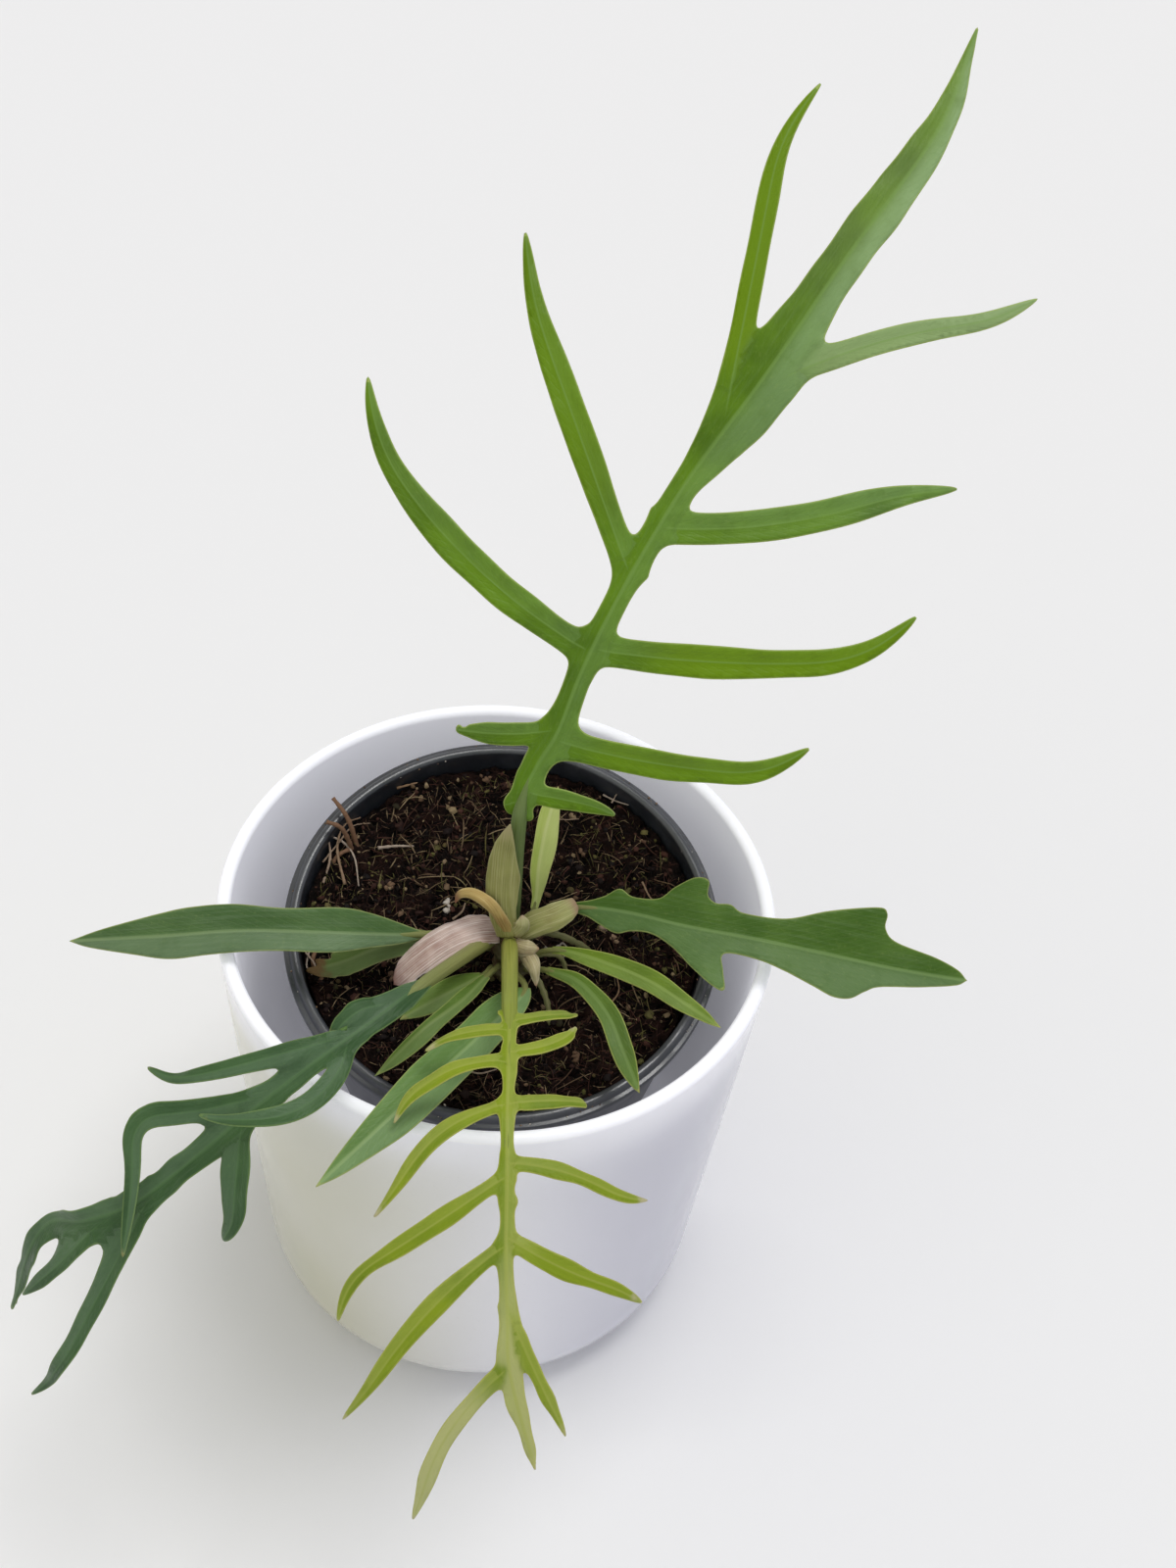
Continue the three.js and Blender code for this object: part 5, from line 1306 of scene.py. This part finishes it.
def build():
    glazed_pot().make("pot_glazed_skin", [glaze("glaze")], ["pot_glazed"], "pot_glazed")
    grow_pot().make("pot_grow_skin", [plastic("plastic")], ["pot_grow"], "pot_grow")
    soil = earth("earth")
    coir = straw("coir", (.006, .003, .0028), (.085, .032, .021), (.42, .31, .18), moss=.85)
    mix_bed().make("soil_bed", [soil], ["soil"], "soil")
    hairs = fibres(4900, seed=51, lengths=(1, 5), thick=(.05, .14), lift=(.1, 1), dark=1.6)
    hairs.make("soil_fibres", [coir], [], "soil")
    straws = fibres(420, seed=52, lengths=(3, 12), thick=(.08, .22), lift=(.3, 1.6), dark=1.3)
    straws.make("soil_straws", [coir], [], "soil")
    crumbs(1500, seed=53).make("soil_crumbs", [coir], [], "soil", smooth=False)
    root = straw("root", (.06, .03, .02), (.25, .14, .08), (.42, .36, .2))
    edge_roots = Parts()
    for points, radii in EDGE_ROOTS:
        v, f, a = knotty(points, radii, 26, 8, ((.12, 2.3, 0),))
        edge_roots.add(v, f, {"u": a["u"], "shade": .5, "seed": radii[0]})
    edge_roots.make("soil_edge_roots", [root], [], "soil")
    litter = straw("litter", (.05, .022, .015), (.3, .19, .11), (.75, .68, .6))
    mix_details().make("soil_litter", [litter], [], "soil")
    crown().make("crown_skin", [stalk("crown", (.10, .09, .035), (.2, .19, .06), (.1, .045, .03)),
                                stalk("crown_root", (.19, .2, .07), (.28, .22, .12), (.35, .3, .16))],
                 ["stem_crown"], "stem_crown")
    olive = stalk("petiole_olive", (.34, .36, .07), (.25, .31, .035), (.19, .22, .03))
    grey = stalk("petiole_grey", (.15, .2, .07), (.17, .29, .035), (.11, .17, .03))
    dull = stalk("petiole_dull", (.27, .28, .09), (.12, .19, .045), (.2, .2, .06))
    brown, tan = (.16, .08, .035), (.42, .3, .13)
    # Colours and shares for each leaf, in the order in which blade takes them.
    leaves = {
        "leaf_cut_upright": ((.125, .25, .008), (.07, .15, .006), (.25, .4, .17), (.2, .34, .08),
                             (.42, .52, .14), (.2, .36, .05), tan, 0.0, .36, 1, .75, .16,
                             (.15, .27, 0.0), (.34, .44, .19)),
        "leaf_cut_front": ((.24, .32, .014), (.14, .22, .012), (.4, .44, .11), (.38, .42, .09),
                           (.5, .5, .12), (.28, .34, .05), (.5, .45, .28), .12, .4, -1, .3, .3,
                           (.2, .28, .006), (.5, .51, .22)),
        "leaf_cut_left": ((.058, .125, .042), (.032, .078, .026), (.12, .195, .11), (.1, .19, .075),
                          (.2, .3, .1), (.12, .22, .05), tan, .02, .34, 1, .1),
        "leaf_lance_left": ((.095, .175, .055), (.06, .125, .035), (.2, .28, .17), (.26, .36, .17),
                            (.4, .46, .16), (.14, .24, .08), tan, .02, .4, -1),
        "leaf_lance_front": ((.15, .265, .075), (.1, .195, .045), (.24, .36, .18), (.32, .44, .19),
                             (.42, .48, .15), (.16, .26, .09), tan, .02, .4, -1),
        "leaf_lobed_right": ((.092, .18, .027), (.052, .12, .013), (.15, .24, .1), (.22, .34, .12),
                             (.42, .48, .15), (.16, .26, .08), tan, .02, .4, 1, .3),
        "leaf_worn_left": ((.12, .19, .045), (.08, .13, .03), (.18, .24, .1), (.22, .28, .11),
                           (.3, .3, .12), (.16, .22, .08), brown, .4, .5, -1),
        "leaf_narrow_front": ((.12, .21, .035), (.08, .15, .022), (.19, .27, .1), (.26, .34, .12),
                              (.38, .44, .13), (.16, .24, .07), tan, .03, .42, -1),
        "leaf_narrow_low": ((.14, .23, .04), (.1, .17, .025), (.2, .28, .11), (.26, .34, .12),
                            (.38, .44, .13), (.16, .24, .07), tan, .03, .42, -1),
        "leaf_lance_right": ((.15, .24, .02), (.1, .17, .014), (.21, .3, .08), (.28, .38, .1),
                             (.48, .52, .14), (.22, .3, .07), tan, .03, .4, 1),
        "leaf_curved_right": ((.11, .19, .024), (.07, .13, .014), (.16, .25, .08), (.2, .3, .09),
                              (.48, .52, .14), (.22, .3, .07), tan, .03, .4, 1),
        "leaf_pale_back": ((.43, .52, .12), (.33, .43, .08), (.58, .64, .27), (.62, .66, .3),
                           (.62, .64, .24), (.36, .44, .14), tan, .04, .42, 1),
    }
    scar = stalk("scar", (.1, .05, .025), (.16, .08, .04), (.06, .03, .02))
    for leaf in CUT_LEAVES:
        stem = {"leaf_cut_upright": grey, "leaf_cut_front": olive, "leaf_cut_left": dull}[leaf["name"]]
        cut_leaf(leaf, [blade(leaf["name"], *leaves[leaf["name"]]), stem, scar])
    for leaf in PLAIN_LEAVES:
        plain_leaf(leaf, [blade(leaf["name"], *leaves[leaf["name"]]), dull])
    # Colours for each sheath, in the order in which husk takes them.
    husks = {
        "sheath_upright": ((.3, .3, .09), (.23, .23, .06), (.43, .41, .18), (.42, .36, .18)),
        "sheath_curled": ((.46, .32, .1), (.34, .19, .06), (.56, .44, .18), (.24, .1, .06)),
        "sheath_papery": ((.6, .45, .39), (.34, .21, .17), (.74, .64, .6), (.2, .1, .08)),
        "sheath_right": ((.34, .35, .11), (.27, .25, .08), (.48, .46, .22), (.36, .24, .14)),
        "sheath_low": ((.42, .42, .18), (.3, .25, .1), (.56, .52, .3), (.42, .3, .2)),
    }
    for name, specs in SHEATHS.items():
        made = Parts()
        for spec in specs:
            sheath(made, spec)
        skins = [husk(name, *husks[name])]
        if name == "sheath_low":
            skins.append(husk("bract", (.44, .38, .2), (.3, .22, .12), (.56, .5, .32), (.4, .24, .15)))
        made.make(name + "_shell", skins, [name], name)


add_camera()
add_stage()
build()
